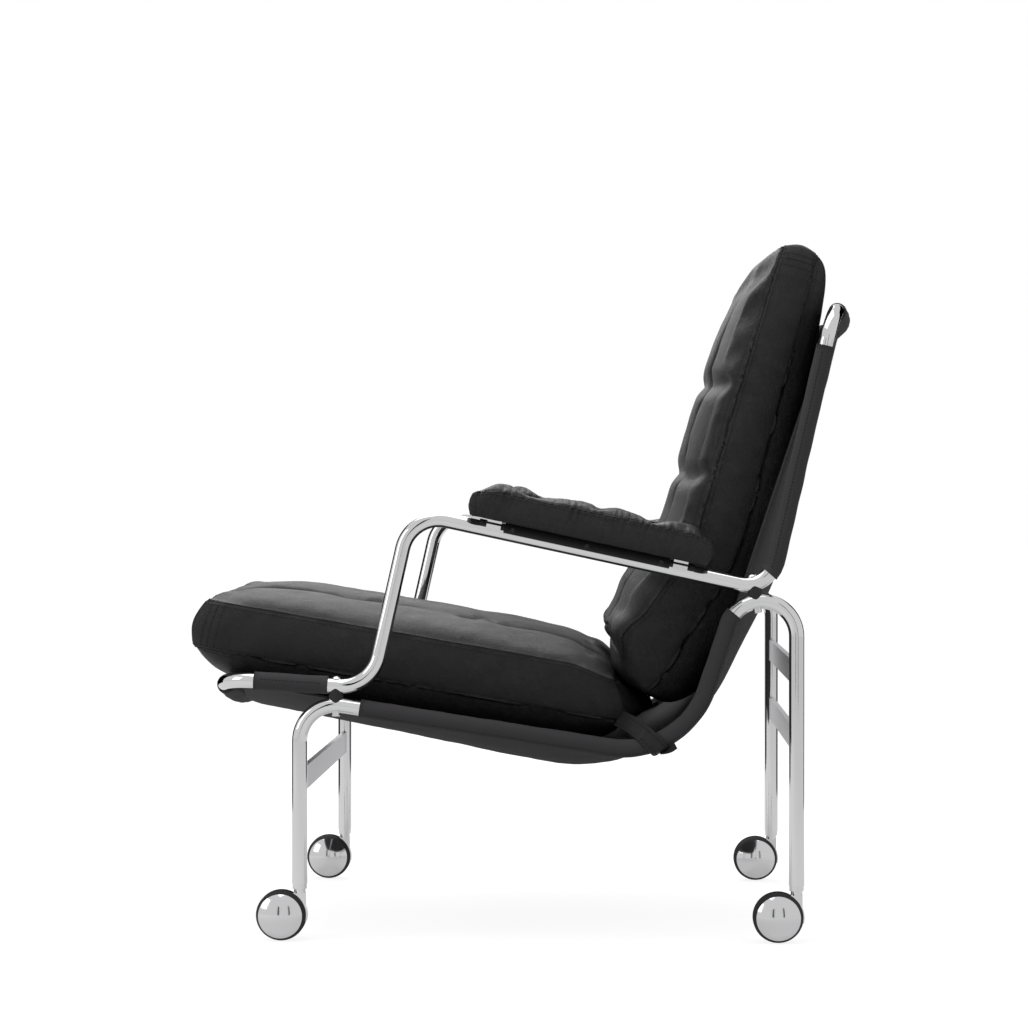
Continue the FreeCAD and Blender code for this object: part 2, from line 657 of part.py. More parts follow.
def crossbar(label, leg_word, middle_word):
    bar = doc.addObject("Part::Box", label + "_bar")
    bar.setExpression("Length", "Sizes.track")
    bar.setExpression("Width", "Sizes.bar_thickness")
    bar.setExpression("Height", "Sizes.bar_height")
    bar.setExpression(".Placement.Base.x", "-Sizes.track / 2")
    bar.setExpression(".Placement.Base.y", leg_word + " - Sizes.bar_thickness / 2")
    bar.setExpression(".Placement.Base.z", middle_word + " - Sizes.bar_height / 2")
    legs = []
    for side_name, _, side_word in SIDES:
        leg = doc.addObject("Part::Cylinder", f"{label}_leg_{side_name}")
        leg.setExpression("Radius", "Sizes.tube_outer / 2")
        leg.setExpression("Height", "Sizes.bar_height * 2")
        leg.setExpression(".Placement.Base.x", side_word)
        leg.setExpression(".Placement.Base.y", leg_word)
        leg.setExpression(".Placement.Base.z", middle_word + " - Sizes.bar_height")
        legs.append(leg)
    both = doc.addObject("Part::MultiFuse", label + "_legs")
    both.Shapes = legs
    cut = doc.addObject("Part::Cut", label + "_coped")
    cut.Base = bar
    cut.Tool = both
    return finish(cut, label)


crossbar("front_crossbar", "Sizes.leg_front_y", "Sizes.front_bar_z")
crossbar("rear_crossbar_upper", "Sizes.leg_rear_y", "Sizes.upper_bar_z")
crossbar("rear_crossbar_lower", "Sizes.leg_rear_y", "Sizes.lower_bar_z")

# Canvas sling: sleeves round the side tubes, hems round the rails, and the panel

front_crossing_on_arm = arm_route.reach(front_upper)
rear_crossing_on_arm = arm_route.reach(rear_upper)
front_crossing_on_leg = leg_route.reach(front_lower)
rear_crossing_on_leg = leg_route.reach(rear_lower)

front_run = Route([Part.LineSegment(front_corner, front_upper).toShape()])
front_sleeve_end = front_run.total - size("front_sleeve_end")
front_sleeve_route = front_run.stretch(size("rail_bend"), front_sleeve_end)
seat_sleeve_route = leg_route.stretch(
    front_crossing_on_leg + size("seat_sleeve_start"),
    rear_crossing_on_leg - size("seat_sleeve_end"),
)
back_run = rounded([riser_top, arm_rear, top_corner], [size("arm_rear_bend")])
back_sleeve_route = back_run.stretch(
    back_run.reach(rear_upper) + size("back_sleeve_start"),
    back_run.total - size("rail_bend") - size("top_sleeve_end"),
)
for side_name, sign, _ in SIDES:
    for place_name, route in (
        ("front", front_sleeve_route),
        ("seat", seat_sleeve_route),
        ("back", back_sleeve_route),
    ):
        sleeve = pipe(route, SLEEVE_OUT, SLEEVE_IN)
        shaped(f"{place_name}_sleeve_{side_name}", sleeve, at_side(sign))


def hem(rail):
    """Canvas round the bowed stretch of a rail, clear of its bends."""
    bent = rail.edges[0].Length + rail.edges[1].Length + size("top_sleeve_end")
    return pipe(rail.stretch(bent, rail.total - bent), SLEEVE_OUT, SLEEVE_IN)


shaped("sling_front_hem", hem(front_rail_route))
shaped("sling_top_hem", hem(top_rail_route))

# The panel hangs between an edge line beside the tubes and a lower line at mid-width

lower_back = (hairpin - seat_corner).normalize()
edge_line = rounded(
    [
        front_corner,
        side(size("seat_corner_y"), size("seat_corner_z")),
        seat_corner + lower_back * size("edge_rise"),
        top_corner,
    ],
    [size("seat_corner_bend"), size("sag_back_bend")],
)
middle_line = rounded(
    [
        front_corner - Vector(0, 0, size("front_rail_bow") + size("hem_drop")),
        side(size("sag_corner_y"), size("sag_corner_z")),
        side(size("sag_back_y"), size("sag_back_z")),
        top_corner + behind * size("top_rail_bow"),
    ],
    [size("sag_corner_bend"), size("sag_back_bend")],
)


def panel_half_width(margin):
    """Half the panel's width this far from a rail's axis, inside the rail's bends."""
    bend = size("rail_bend")
    inner = bend - SLEEVE_OUT - size("panel_play")
    if margin >= bend:
        return HALF_TRACK - SLEEVE_OUT - size("panel_play")
    return HALF_TRACK - bend + math.sqrt(max(inner**2 - (bend - margin) ** 2, 0.0))


def panel_section(share, margin):
    """Closed outline of the panel across the chair at a share of its length."""
    edge_point = edge_line.at(share * edge_line.total)[0]
    middle_point = middle_line.at(share * middle_line.total)[0]
    sag = middle_point - edge_point
    thick = Vector(sag).normalize() * size("panel_thickness")
    half = panel_half_width(margin)
    left = edge_point + Vector(half, 0, 0)
    right = edge_point - Vector(half, 0, 0)
    upper = Part.Arc(left, middle_point, right).toShape()
    lower = Part.Arc(right + thick, middle_point + thick, left + thick).toShape()
    near = Part.LineSegment(left + thick, left).toShape()
    far = Part.LineSegment(right, right + thick).toShape()
    return Part.Wire([upper, far, lower, near])


# Near a rail the sections follow its bends, and between the rails they are evenly spaced
PANEL_STEPS = 22
RAIL_SHARES = (0.0, 0.2, 0.5, 1.0)
panel_sections = []
rim = SLEEVE_OUT + size("panel_play")
near_rail = [rim + (size("rail_bend") - rim) * share for share in RAIL_SHARES]
span = edge_line.total - 2 * size("rail_bend")
margins = list(near_rail)
for step in range(1, PANEL_STEPS):
    margins.append(size("rail_bend") + span * step / PANEL_STEPS)
margins += [edge_line.total - margin for margin in reversed(near_rail)]
for margin in margins:
    nearest = min(margin, edge_line.total - margin)
    panel_sections.append(panel_section(margin / edge_line.total, nearest))
panel = Part.makeLoft(panel_sections, True, True)


def strap_spot():
    """Where a strap goes round the seat rail: the point, and the rail's heading there."""
    return leg_route.at(leg_route.reach_y(size("strap_y"), front_crossing_on_leg))


def strap_slot(sign):
    """Opening in the panel's edge that a strap passes through."""
    spot, heading = strap_spot()
    play = size("strap_play")
    radius = SLEEVE_OUT + size("strap_thickness") + 3 * play
    width = size("strap_width") + 4 * play
    start = spot + Vector(sign * HALF_TRACK, 0, 0) - heading * (width / 2)
    return Part.makeCylinder(radius, width, start, heading)


for _, sign, _ in SIDES:
    panel = panel.cut(strap_slot(sign))
shaped("sling_panel", panel)


# Cushions: lofts through sections with seams, crowned faces, creases and tufts


def bell(distance, reach):
    """A smooth bump, 1 at the middle and near 0 past its reach."""
    return math.exp(-((distance / reach) ** 2))


def eased(distance, length, over, power):
    """Rises from 0 at either end of a length to 1 past a stretch."""
    from_end = min(distance, length - distance)
    if from_end >= over:
        return 1.0
    return 1.0 - (1.0 - from_end / over) ** power


def stations(length, end_steps, pitch):
    """Distances along a cushion, close together near its ends."""
    inner = end_steps[-1]
    count = max(2, round((length - 2 * inner) / pitch))
    middle = [inner + (length - 2 * inner) * step / count for step in range(1, count)]
    return list(end_steps) + middle + [length - step for step in reversed(end_steps)]


# How near the crest a face already is, halfway from a crease to the seam
SHOULDER = 0.86


def cushion_section(place, half, low, high, bulge, dip, crest, column, valley):
    """One closed section. place maps (across, up) to a point."""

    def arc(start, through, stop):
        return Part.Arc(place(*start), place(*through), place(*stop)).toShape()

    middle = (low + high) / 2
    shoulder = (half + column) / 2
    swell = high + (crest - high) * SHOULDER
    edges = [
        arc((half, low), (half + bulge, middle), (half, high)),
        arc((half, high), (shoulder, swell), (column, crest - valley)),
        arc((column, crest - valley), (0, crest), (-column, crest - valley)),
        arc((-column, crest - valley), (-shoulder, swell), (-half, high)),
        arc((-half, high), (-half - bulge, middle), (-half, low)),
        arc((-half, low), (0, dip), (half, low)),
    ]
    return Part.Wire(edges)


def cushion_pair(label, sections):
    """Cover and core. sections(inset) gives the sections of a solid that much smaller."""
    outer = Part.makeLoft(sections(0.0), True, True)
    lining = Part.makeLoft(sections(size("cover_thickness"))[1:-1], True, True)
    packing = size("cover_thickness") + size("cover_play")
    core = Part.makeLoft(sections(packing)[1:-1], True, True)
    shaped(label + "_cover", outer.cut(lining))
    shaped(label + "_core", core)


def drop_to_panel(point, down):
    """How far the panel's upper face lies below a point at mid-width."""
    ray = Part.LineSegment(point, point + down * middle_line.total).toShape()
    gap, places, _ = middle_line.wire().distToShape(ray)
    if gap > TINY * 1000:
        return None
    return (places[0][0] - point).Length


seat_tilt = math.radians(size("seat_slope"))
seat_ahead = Vector(0, math.cos(seat_tilt), -math.sin(seat_tilt))
seat_up = Vector(0, math.sin(seat_tilt), math.cos(seat_tilt))
seat_origin = side(size("seat_front_y"), size("seat_front_z"))
END_STEPS = (0.0, 5.0, 14.0, 30.0)
END_ROUND = 30.0
END_SWELL = 2.0
CUSHION_PITCH = 30.0
SEAT_ROWS = ("seat_row_one", "seat_row_two")
seat_run = size("back_foot_y") - size("seat_to_back") - size("seat_front_y")
seat_length = seat_run / math.cos(seat_tilt)


def seat_sections(inset):
    length = seat_length
    wires = []
    for distance in stations(length, END_STEPS, CUSHION_PITCH):
        end = eased(distance, length, END_ROUND, 2)
        base = seat_origin + seat_ahead * distance
        crown = size("seat_crown") * (1 - abs(2 * distance / length - 1) ** 5)
        crown = END_SWELL + crown * (0.25 + 0.75 * end)
        from_rear = eased(length - distance, 2 * length, size("seat_fall_ease"), 2)
        rear_fall = size("seat_rear_fall") * (1 - from_rear)
        rows = [distance - size(row) for row in SEAT_ROWS]
        pull = sum(bell(row, size("seat_tuft_spread")) for row in rows)
        crease = size("seat_valley") * end + size("seat_tuft") * pull
        valley = min(max(crease, END_SWELL / 2), crown * 0.8)
        belly = eased(distance, length, size("seat_belly_ease"), 2.5)
        drop = drop_to_panel(base, seat_up * -1) or size("seat_belly")
        dip = max(belly * (drop - size("cover_play")), END_SWELL)
        low = size("seat_end_draw") * (1 - end)
        high = size("seat_side") - low - rear_fall
        half = HALF_TRACK - size("seat_side_gap") - size("seat_end_narrow") * (1 - end)

        def place(across, up, base=base):
            return base + Vector(across, 0, 0) + seat_up * up

        wires.append(
            cushion_section(
                place,
                half - inset,
                low + inset,
                high - inset,
                END_SWELL + (size("side_bulge") - END_SWELL) * end,
                low - dip + inset,
                high + crown - inset,
                size("tuft_column"),
                valley,
            )
        )
    return wires


cushion_pair("seat_cushion", seat_sections)

back_line = rounded(
    [
        side(size("back_foot_y"), size("back_foot_z")),
        side(size("back_heel_y"), size("back_heel_z")),
        side(size("back_waist_y"), size("back_waist_z")),
        side(size("back_head_y"), size("back_head_z")),
    ],
    [size("back_heel_bend"), size("back_waist_bend")],
)
BACK_ROWS = ("back_row_one", "back_row_two", "back_row_three")


def back_sections(inset):
    length = back_line.total
    wires = []
    for distance in stations(length, END_STEPS, CUSHION_PITCH):
        end = eased(distance, length, END_ROUND, 2)
        base, heading = back_line.at(distance)
        ahead = Vector(0, -heading.z, heading.y)
        share = distance / length
        thickness = size("back_side") + (size("back_side_top") - size("back_side")) * share**2
        crown = size("back_end_crown") + size("back_crown") * (1 - abs(2 * share - 1) ** 4)
        crown = END_SWELL + crown * (0.2 + 0.8 * end)
        rows = [length - distance - size(row) for row in BACK_ROWS]
        pull = sum(bell(row, size("back_tuft_spread")) for row in rows)
        crease = size("back_valley") * end + size("back_tuft") * pull
        valley = min(max(crease, END_SWELL / 2), crown * 0.8)
        across_dip = size("back_dip") * pull * end
        drop = drop_to_panel(base, ahead * -1) or size("back_belly")
        belly = eased(distance, length, size("back_belly_ease"), 2.2)
        most = size("back_belly") + size("back_foot_belly") * (1 - share)
        lean = min(drop - size("cover_play"), most)
        low = size("back_end_draw") * (1 - end)
        high = thickness - low
        half = HALF_TRACK - size("back_side_gap") - size("back_end_narrow") * (1 - end)

        def place(across, up, base=base, ahead=ahead):
            return base + Vector(across, 0, 0) + ahead * up

        wires.append(
            cushion_section(
                place,
                half - inset,
                low + inset,
                high - inset,
                END_SWELL + (size("side_bulge") - END_SWELL) * end,
                low - max(belly * lean, END_SWELL) + inset,
                high + crown - across_dip - inset,
                size("tuft_column"),
                valley,
            )
        )
    return wires


cushion_pair("back_cushion", back_sections)

# Arm pads on their black channels

SADDLE_TOP = TUBE + size("arm_saddle_wall")
PAD_FLOOR = SADDLE_TOP + size("cover_play")
PAD_ENDS = (0.0, 3.0, 9.0, 20.0)
PAD_ROUND = 20.0


def pad_sections(inset):
    length = size("pad_length")
    wires = []
    start = pad_centre - arm_heading * (length / 2)
    for distance in stations(length, PAD_ENDS, 13.0):
        end = eased(distance, length, PAD_ROUND, 2)
        base = start + arm_heading * distance + arm_up * PAD_FLOOR
        phase = (distance - length / 2) / size("pad_pitch")
        from_pull = (phase - round(phase)) * size("pad_pitch")
        pull = bell(from_pull, size("pad_tuft_spread")) * end
        half = size("pad_half_width") - size("pad_end_narrow") * (1 - end) - inset
        low = inset
        high = size("pad_side") - size("pad_end_fall") * (1 - end) - inset
        crest = size("pad_side") + size("pad_crown") * end - size("pad_tuft") * pull - inset

        def place(across, up, base=base):
            return base + Vector(across, 0, 0) + arm_up * up

        def arc(first, through, last):
            return Part.Arc(place(*first), place(*through), place(*last)).toShape()

        tuck = half - size("pad_tuck")
        swell = half + END_SWELL - 1.5 * pull
        middle = (low + high) / 2
        edges = [
            Part.LineSegment(place(-tuck, low), place(tuck, low)).toShape(),
            arc((tuck, low), (swell, middle), (half, high)),
            arc((half, high), (0, crest), (-half, high)),
            arc((-half, high), (-swell, middle), (-tuck, low)),
        ]
        wires.append(Part.Wire(edges))
    return wires


def pad_slab(bottom, thickness):
    """A flat block across the whole pad, between two heights over its floor."""
    reach = size("pad_length")
    block = Part.makeBox(2 * reach, reach, thickness)
    block.translate(Vector(-reach, -reach / 2, 0))
    turn = FreeCAD.Rotation(Vector(0, 0, 1), arm_up)
    floor = FreeCAD.Placement(pad_centre + arm_up * (PAD_FLOOR + bottom), turn)
    block.Placement = floor.multiply(block.Placement)
    return block


def channel_screw(distance):
    """Small round-headed screw through the channel's outer edge into the tube."""
    outward = screw_heading(1)
    centre = pad_centre + arm_heading * distance
    seat = centre + outward * (SADDLE_TOP - size("arm_screw_sink"))
    head = Part.makeCylinder(size("arm_screw_head") / 2, size("arm_screw_rise"), seat, outward)
    tip = centre + outward * (BORE - 1)
    shank = Part.makeCylinder(size("arm_screw_shank") / 2, (seat - tip).Length + 1, tip, outward)
    return head.fuse(shank).removeSplitter()


def pad_screw(distance):
    """Countersunk screw from the channel up into the pad's board."""
    foot = TUBE + size("cover_play")
    tip = PAD_FLOOR + size("cover_thickness") + size("board_thickness") - 1
    place = pad_centre + arm_heading * distance + arm_up * foot
    radius = size("pad_screw_shank") / 2
    head = Part.makeCone(size("pad_screw_head") / 2, radius, size("pad_screw_cone"), place, arm_up)
    shank = Part.makeCylinder(radius, tip - foot, place, arm_up)
    return head.fuse(shank).removeSplitter()


channel_screws = [channel_screw(step) for step in screw_steps]
pad_screws = [pad_screw(step * size("pad_screw_pitch") / 2) for step in (-1, 1)]


def over_arm(outer, start, length):
    """Half-round shell over the arm tube, from a distance past the pad's middle."""
    foot = pad_centre + arm_heading * start
    ring = Part.makeCylinder(outer, length, foot, arm_heading)
    ring = ring.cut(Part.makeCylinder(TUBE, length, foot, arm_heading))
    below = Part.makeBox(4 * outer, length * 1.2, 2 * outer)
    below.translate(Vector(-2 * outer, -length * 0.1, -2 * outer))
    turn = FreeCAD.Rotation(Vector(0, 0, 1), arm_up)
    below.Placement = FreeCAD.Placement(foot, turn).multiply(below.Placement)
    return ring.cut(below)


def arm_channel():
    """Half-round channel over the tube, drilled for its screws."""
    length = size("arm_saddle_length")
    ring = over_arm(SADDLE_TOP, -length / 2, length)
    for screw in channel_screws + pad_screws:
        ring = ring.cut(screw)
    return ring


def arm_clip(end):
    """Chrome clip over the tube at one end of the channel, with a block and a foot."""
    length = size("clip_length")
    inner = size("arm_saddle_length") / 2 + size("clip_gap")
    start = inner if end > 0 else -inner - length
    shell = over_arm(TUBE + size("clip_wall"), start, length)
    block_length = size("clip_block_length")
    near = inner + size("clip_block_start")
    block_start = pad_centre + arm_heading * (near if end > 0 else -near - block_length)
    half = size("clip_block_half")
    low = size("clip_block_low")
    high = size("clip_block_high")
    edge = size("clip_block_edge")
    foot = size("clip_foot_half")
    outline = [
        (-half, low),
        (half, low),
        (half, high - edge),
        (half - edge, high),
        (foot, high),
        (foot, SADDLE_TOP),
        (-foot, SADDLE_TOP),
        (-foot, high),
        (edge - half, high),
        (-half, high - edge),
        (-half, low),
    ]
    points = [block_start + Vector(across, 0, 0) + arm_up * up for across, up in outline]
    block = Part.Face(Part.makePolygon(points)).extrude(arm_heading * block_length)
    block = block.cut(Part.makeCylinder(TUBE, block_length, block_start, arm_heading))
    return shell.fuse(block).removeSplitter()


outer_pad = Part.makeLoft(pad_sections(0.0), True, True)
lining = Part.makeLoft(pad_sections(size("cover_thickness"))[1:-1], True, True)
packing = size("cover_thickness") + size("cover_play")
filling = Part.makeLoft(pad_sections(packing)[1:-1], True, True)
board_top = packing + size("board_thickness")
pad_board = filling.common(pad_slab(0.0, board_top))
pad_core = filling.cut(pad_slab(-1.0, board_top + 1.0 + size("cover_play")))
pad_cover = outer_pad.cut(lining)
channel = arm_channel()
clips = [arm_clip(end) for end in (1, -1)]
for screw in pad_screws:
    pad_board = pad_board.cut(screw)
    pad_cover = pad_cover.cut(screw)


def mirrored(shape):
    return shape.mirror(Vector(0, 0, 0), Vector(1, 0, 0))


for side_name, sign, _ in SIDES:
    shaped(f"arm_pad_cover_{side_name}", pad_cover, at_side(sign))
    shaped(f"arm_pad_core_{side_name}", pad_core, at_side(sign))
    shaped(f"arm_pad_board_{side_name}", pad_board, at_side(sign))
    facing = channel if sign > 0 else mirrored(channel)
    shaped(f"arm_channel_{side_name}", facing, at_side(sign))

screw_group = []
for sign in (1, -1):
    for screw in channel_screws:
        facing = screw if sign > 0 else mirrored(screw)
        screw_group.append(facing.translated(Vector(sign * HALF_TRACK, 0, 0)))
shaped("channel_screws", Part.makeCompound(screw_group))
shaped("pad_screws", both_sides(pad_screws))
shaped("arm_clips", both_sides(clips))

# Straps from the seat cushion's rear corners, round the seat rails


def strap(sign):
    """Flat band: from the cushion over the rail's outer side, under it and up inside."""
    spot, heading = strap_spot()
    up = Vector(0, -heading.z, heading.y)
    inner = SLEEVE_OUT + size("strap_play")
    outer = inner + size("strap_thickness")
    start_across = size("strap_start_across")
    start_up = size("strap_start_up")
    reach = math.hypot(start_across, start_up)

    def at(across, rise):
        return Vector(-sign * across, 0, 0) + up * rise + spot + Vector(sign * HALF_TRACK, 0, 0)

    def ring_point(radius, angle):
        return at(radius * math.cos(angle), radius * math.sin(angle))

    touch = math.atan2(start_up, start_across) + math.acos(outer / reach)
    leave = math.radians(size("strap_tail_turn")) + 2 * math.pi
    middle = (touch + leave) / 2
    along = Vector(math.sin(touch), -math.cos(touch), 0)
    run = math.sqrt(reach**2 - outer**2)
    outer_start = ring_point(outer, touch)
    inner_start = ring_point(inner, touch)
    to_cushion = at(along.x, along.y) - at(0, 0)
    outer_far = outer_start + to_cushion * run
    inner_far = inner_start + to_cushion * run
    tail = (at(-math.sin(leave), math.cos(leave)) - at(0, 0)) * size("strap_tail")
    outer_end = ring_point(outer, leave)
    inner_end = ring_point(inner, leave)
    edges = [
        Part.LineSegment(outer_far, outer_start).toShape(),
        Part.Arc(outer_start, ring_point(outer, middle), outer_end).toShape(),
        Part.LineSegment(outer_end, outer_end + tail).toShape(),
        Part.LineSegment(outer_end + tail, inner_end + tail).toShape(),
        Part.LineSegment(inner_end + tail, inner_end).toShape(),
        Part.Arc(inner_end, ring_point(inner, middle), inner_start).toShape(),
        Part.LineSegment(inner_start, inner_far).toShape(),
        Part.LineSegment(inner_far, outer_far).toShape(),
    ]
    face = Part.Face(Part.Wire(edges))
    face.translate(heading * (-size("strap_width") / 2))
    return face.extrude(heading * size("strap_width"))


shaped("seat_strap_left", strap(1))
shaped("seat_strap_right", strap(-1))

# Casters: socket, fork, wheel halves, domes and axle

WHEEL_Z = math.sqrt(size("wheel_radius") ** 2 - size("wheel_gap") ** 2)
WHEEL_Z_WORD = "sqrt(Sizes.wheel_radius ^ 2 - Sizes.wheel_gap ^ 2)"
ACROSS = FreeCAD.Rotation(Vector(0, 1, 0), 90)
LEGS = (("front", "Sizes.leg_front_y"), ("rear", "Sizes.leg_rear_y"))


def primitive(body, kind, name, words, place, turn=None):
    """A PartDesign primitive whose sizes and place are words of the sheet."""
    feature = body.newObject("PartDesign::" + kind, name)
    feature.Placement = FreeCAD.Placement(Vector(0, 0, 0), turn or FreeCAD.Rotation())
    for key, word in words.items():
        feature.setExpression(key, word)
    for axis, word in place.items():
        feature.setExpression(".Placement.Base." + axis, word)
    body.Tip = feature
    return feature


def caster_body(label, side_word, leg_word):
    """An empty body whose origin is the wheel's centre."""
    body = doc.addObject("PartDesign::Body", label)
    body.AllowCompound = True
    body.setExpression(".Placement.Base.x", side_word)
    body.setExpression(".Placement.Base.y", leg_word + " - Sizes.wheel_trail")
    body.setExpression(".Placement.Base.z", WHEEL_Z_WORD)
    return finish(body, label)


NECK_TOP = f"(Sizes.leg_foot_z - Sizes.ferrule_height - Sizes.swivel_play - {WHEEL_Z_WORD})"


def fork(label, side_word, leg_word):
    body = caster_body(label, side_word, leg_word)
    half_web = "Sizes.horn_thickness / 2"
    rim = "(Sizes.wheel_radius + Sizes.horn_proud)"
    neck_front = "(Sizes.wheel_trail - Sizes.neck_radius)"
    primitive(
        body,
        "AdditiveCylinder",
        "Horn",
        {"Radius": rim, "Height": "Sizes.horn_thickness"},
        {"x": "-" + half_web},
        ACROSS,
    )
    primitive(
        body,
        "SubtractiveBox",
        "AheadOfHorn",
        {"Length": "Sizes.horn_thickness", "Width": rim + " + " + neck_front, "Height": rim + " * 2"},
        {"x": "-" + half_web, "y": "-" + rim, "z": "-" + rim},
    )
    primitive(
        body,
        "SubtractiveBox",
        "BelowHorn",
        {"Length": "Sizes.horn_thickness", "Width": rim, "Height": rim},
        {"x": "-" + half_web, "y": "0", "z": "-" + rim + " - Sizes.neck_radius"},
    )
    primitive(
        body,
        "AdditiveBox",
        "Arm",
        {
            "Length": "Sizes.horn_thickness",
            "Width": neck_front + " + 1",
            "Height": "Sizes.neck_radius * 2",
        },
        {"x": "-" + half_web, "z": "-Sizes.neck_radius"},
    )
    primitive(
        body,
        "AdditiveCylinder",
        "Hub",
        {"Radius": "Sizes.horn_hub", "Height": "Sizes.horn_thickness"},
        {"x": "-" + half_web},
        ACROSS,
    )
    primitive(
        body,
        "AdditiveBox",
        "Shoulder",
        {
            "Length": "Sizes.horn_thickness",
            "Width": "Sizes.neck_radius * 2",
            "Height": "Sizes.neck_foot + 1",
        },
        {"x": "-" + half_web, "y": neck_front},
    )
    primitive(
        body,
        "AdditiveCylinder",
        "Neck",
        {"Radius": "Sizes.neck_radius", "Height": NECK_TOP + " - Sizes.neck_foot"},
        {"y": "Sizes.wheel_trail", "z": "Sizes.neck_foot"},
    )
    primitive(
        body,
        "AdditiveCylinder",
        "Stem",
        {"Radius": "Sizes.stem_radius", "Height": "Sizes.stem_length + Sizes.swivel_play + 1"},
        {"y": "Sizes.wheel_trail", "z": NECK_TOP + " - 1"},
    )
    primitive(
        body,
        "SubtractiveCylinder",
        "AxleBore",
        {
            "Radius": "Sizes.axle_radius + Sizes.axle_play",
            "Height": "Sizes.horn_thickness + 2",
        },
        {"x": "-" + half_web + " - 1"},
        ACROSS,
    )


def wheel_halves(label, side_word, leg_word):
    body = caster_body(label, side_word, leg_word)
    primitive(body, "AdditiveSphere", "Ball", {"Radius": "Sizes.wheel_radius"}, {})
    whole = "Sizes.wheel_radius * 2"
    across = {"y": "-Sizes.wheel_radius", "z": "-Sizes.wheel_radius"}
    slots = (
        ("MiddleSlot", "Sizes.wheel_gap * 2", "-Sizes.wheel_gap"),
        ("LeftFace", "Sizes.wheel_radius", "Sizes.wheel_rim"),
        ("RightFace", "Sizes.wheel_radius", "-Sizes.wheel_rim - Sizes.wheel_radius"),
    )
    for name, length, start in slots:
        primitive(
            body,
            "SubtractiveBox",
            name,
            {"Length": length, "Width": whole, "Height": whole},
            {"x": start, **across},
        )
    primitive(
        body,
        "SubtractiveCylinder",
        "Bore",
        {"Radius": "Sizes.axle_radius", "Height": whole},
        {"x": "-Sizes.wheel_radius"},
        ACROSS,
    )


DOME_EDGE_WORD = "(Sizes.wheel_radius ^ 2 - Sizes.wheel_rim ^ 2)"
DOME_RISE_WORD = "(Sizes.dome_reach - Sizes.wheel_rim)"
DOME_BALL_WORD = f"({DOME_EDGE_WORD} + {DOME_RISE_WORD} ^ 2) / (2 * {DOME_RISE_WORD})"


def wheel_domes(label, side_word, leg_word):
    """Both chrome domes, each a shallow cap seated on its wheel half."""
    caps = []
    for sign, turn in ((1, FreeCAD.Rotation()), (-1, FreeCAD.Rotation(Vector(0, 0, 1), 180))):
        parts = []
        for name, wall in (("outer", ""), ("inner", " - Sizes.dome_wall")):
            ball = doc.addObject("Part::Sphere", f"{label}_{name}_{sign}")
            ball.setExpression("Radius", DOME_BALL_WORD + wall)
            parts.append(ball)
        shell = doc.addObject("Part::Cut", f"{label}_shell_{sign}")
        shell.Base, shell.Tool = parts
        keep = doc.addObject("Part::Cylinder", f"{label}_keep_{sign}")
        keep.setExpression("Radius", "Sizes.wheel_radius")
        keep.setExpression("Height", "Sizes.wheel_radius")
        keep.Placement = FreeCAD.Placement(Vector(0, 0, 0), ACROSS)
        keep.setExpression(".Placement.Base.x", f"{DOME_BALL_WORD} - {DOME_RISE_WORD}")
        cap = doc.addObject("Part::Common", f"{label}_cap_{sign}")
        cap.Base = shell
        cap.Tool = keep
        cap.Placement = FreeCAD.Placement(Vector(0, 0, 0), turn)
        way = "" if sign > 0 else "-"
        offset = f"{way}(Sizes.dome_reach - {DOME_BALL_WORD})"
        cap.setExpression(".Placement.Base.x", offset)
        caps.append(cap)
    pair = doc.addObject("Part::MultiFuse", label + "_pair")
    pair.Shapes = caps
    pair.setExpression(".Placement.Base.x", side_word)
    pair.setExpression(".Placement.Base.y", leg_word + " - Sizes.wheel_trail")
    pair.setExpression(".Placement.Base.z", WHEEL_Z_WORD)
    return finish(pair, label)


def axle(label, side_word, leg_word):
    body = caster_body(label, side_word, leg_word)
    primitive(
        body,
        "AdditiveCylinder",
        "Pin",
        {"Radius": "Sizes.axle_radius", "Height": "Sizes.wheel_rim * 2"},
        {"x": "-Sizes.wheel_rim"},
        ACROSS,
    )


for side_name, _, side_word in SIDES:
    for leg_name, leg_word in LEGS:
        corner_name = f"{leg_name}_{side_name}"
        fork(f"caster_fork_{corner_name}", side_word, leg_word)
        wheel_halves(f"caster_wheels_{corner_name}", side_word, leg_word)
        wheel_domes(f"caster_domes_{corner_name}", side_word, leg_word)
        axle(f"caster_axle_{corner_name}", side_word, leg_word)


def socket(side_x, leg_y):
    """Sleeve pressed into the leg, with a ferrule over the tube's end."""
    foot = Vector(side_x, leg_y, size("leg_foot_z"))
    up = Vector(0, 0, 1)
    collar = foot - up * size("ferrule_height")
    shape = Part.makeCylinder(size("ferrule_radius"), size("ferrule_height"), collar, up)
    shape = shape.fuse(Part.makeCylinder(BORE, size("socket_depth"), foot, up))
    hole = size("stem_length") + 1
    shape = shape.cut(Part.makeCylinder(size("stem_radius") + size("axle_play"), hole, collar, up))
    return shape.removeSplitter()


sockets = []
for sign in (1, -1):
    for leg in ("leg_front_y", "leg_rear_y"):
        sockets.append(socket(sign * HALF_TRACK, size(leg)))
shaped("caster_sockets", Part.makeCompound(sockets))

# Every object has to be sound before anything is written

doc.recompute()
for thing in doc.Objects:
    if "Invalid" in thing.State or "Error" in thing.State:
        raise RuntimeError(f"{thing.Label} failed: {thing.State}")
for label, node in finished.items():
    if node.Shape.isNull() or not node.Shape.isValid():
        raise RuntimeError(f"{label} has no sound shape")

os.makedirs("parts", exist_ok=True)
for label, node in finished.items():
    node.Shape.exportStep(f"parts/{label}.step")
print(len(finished), "nodes written")
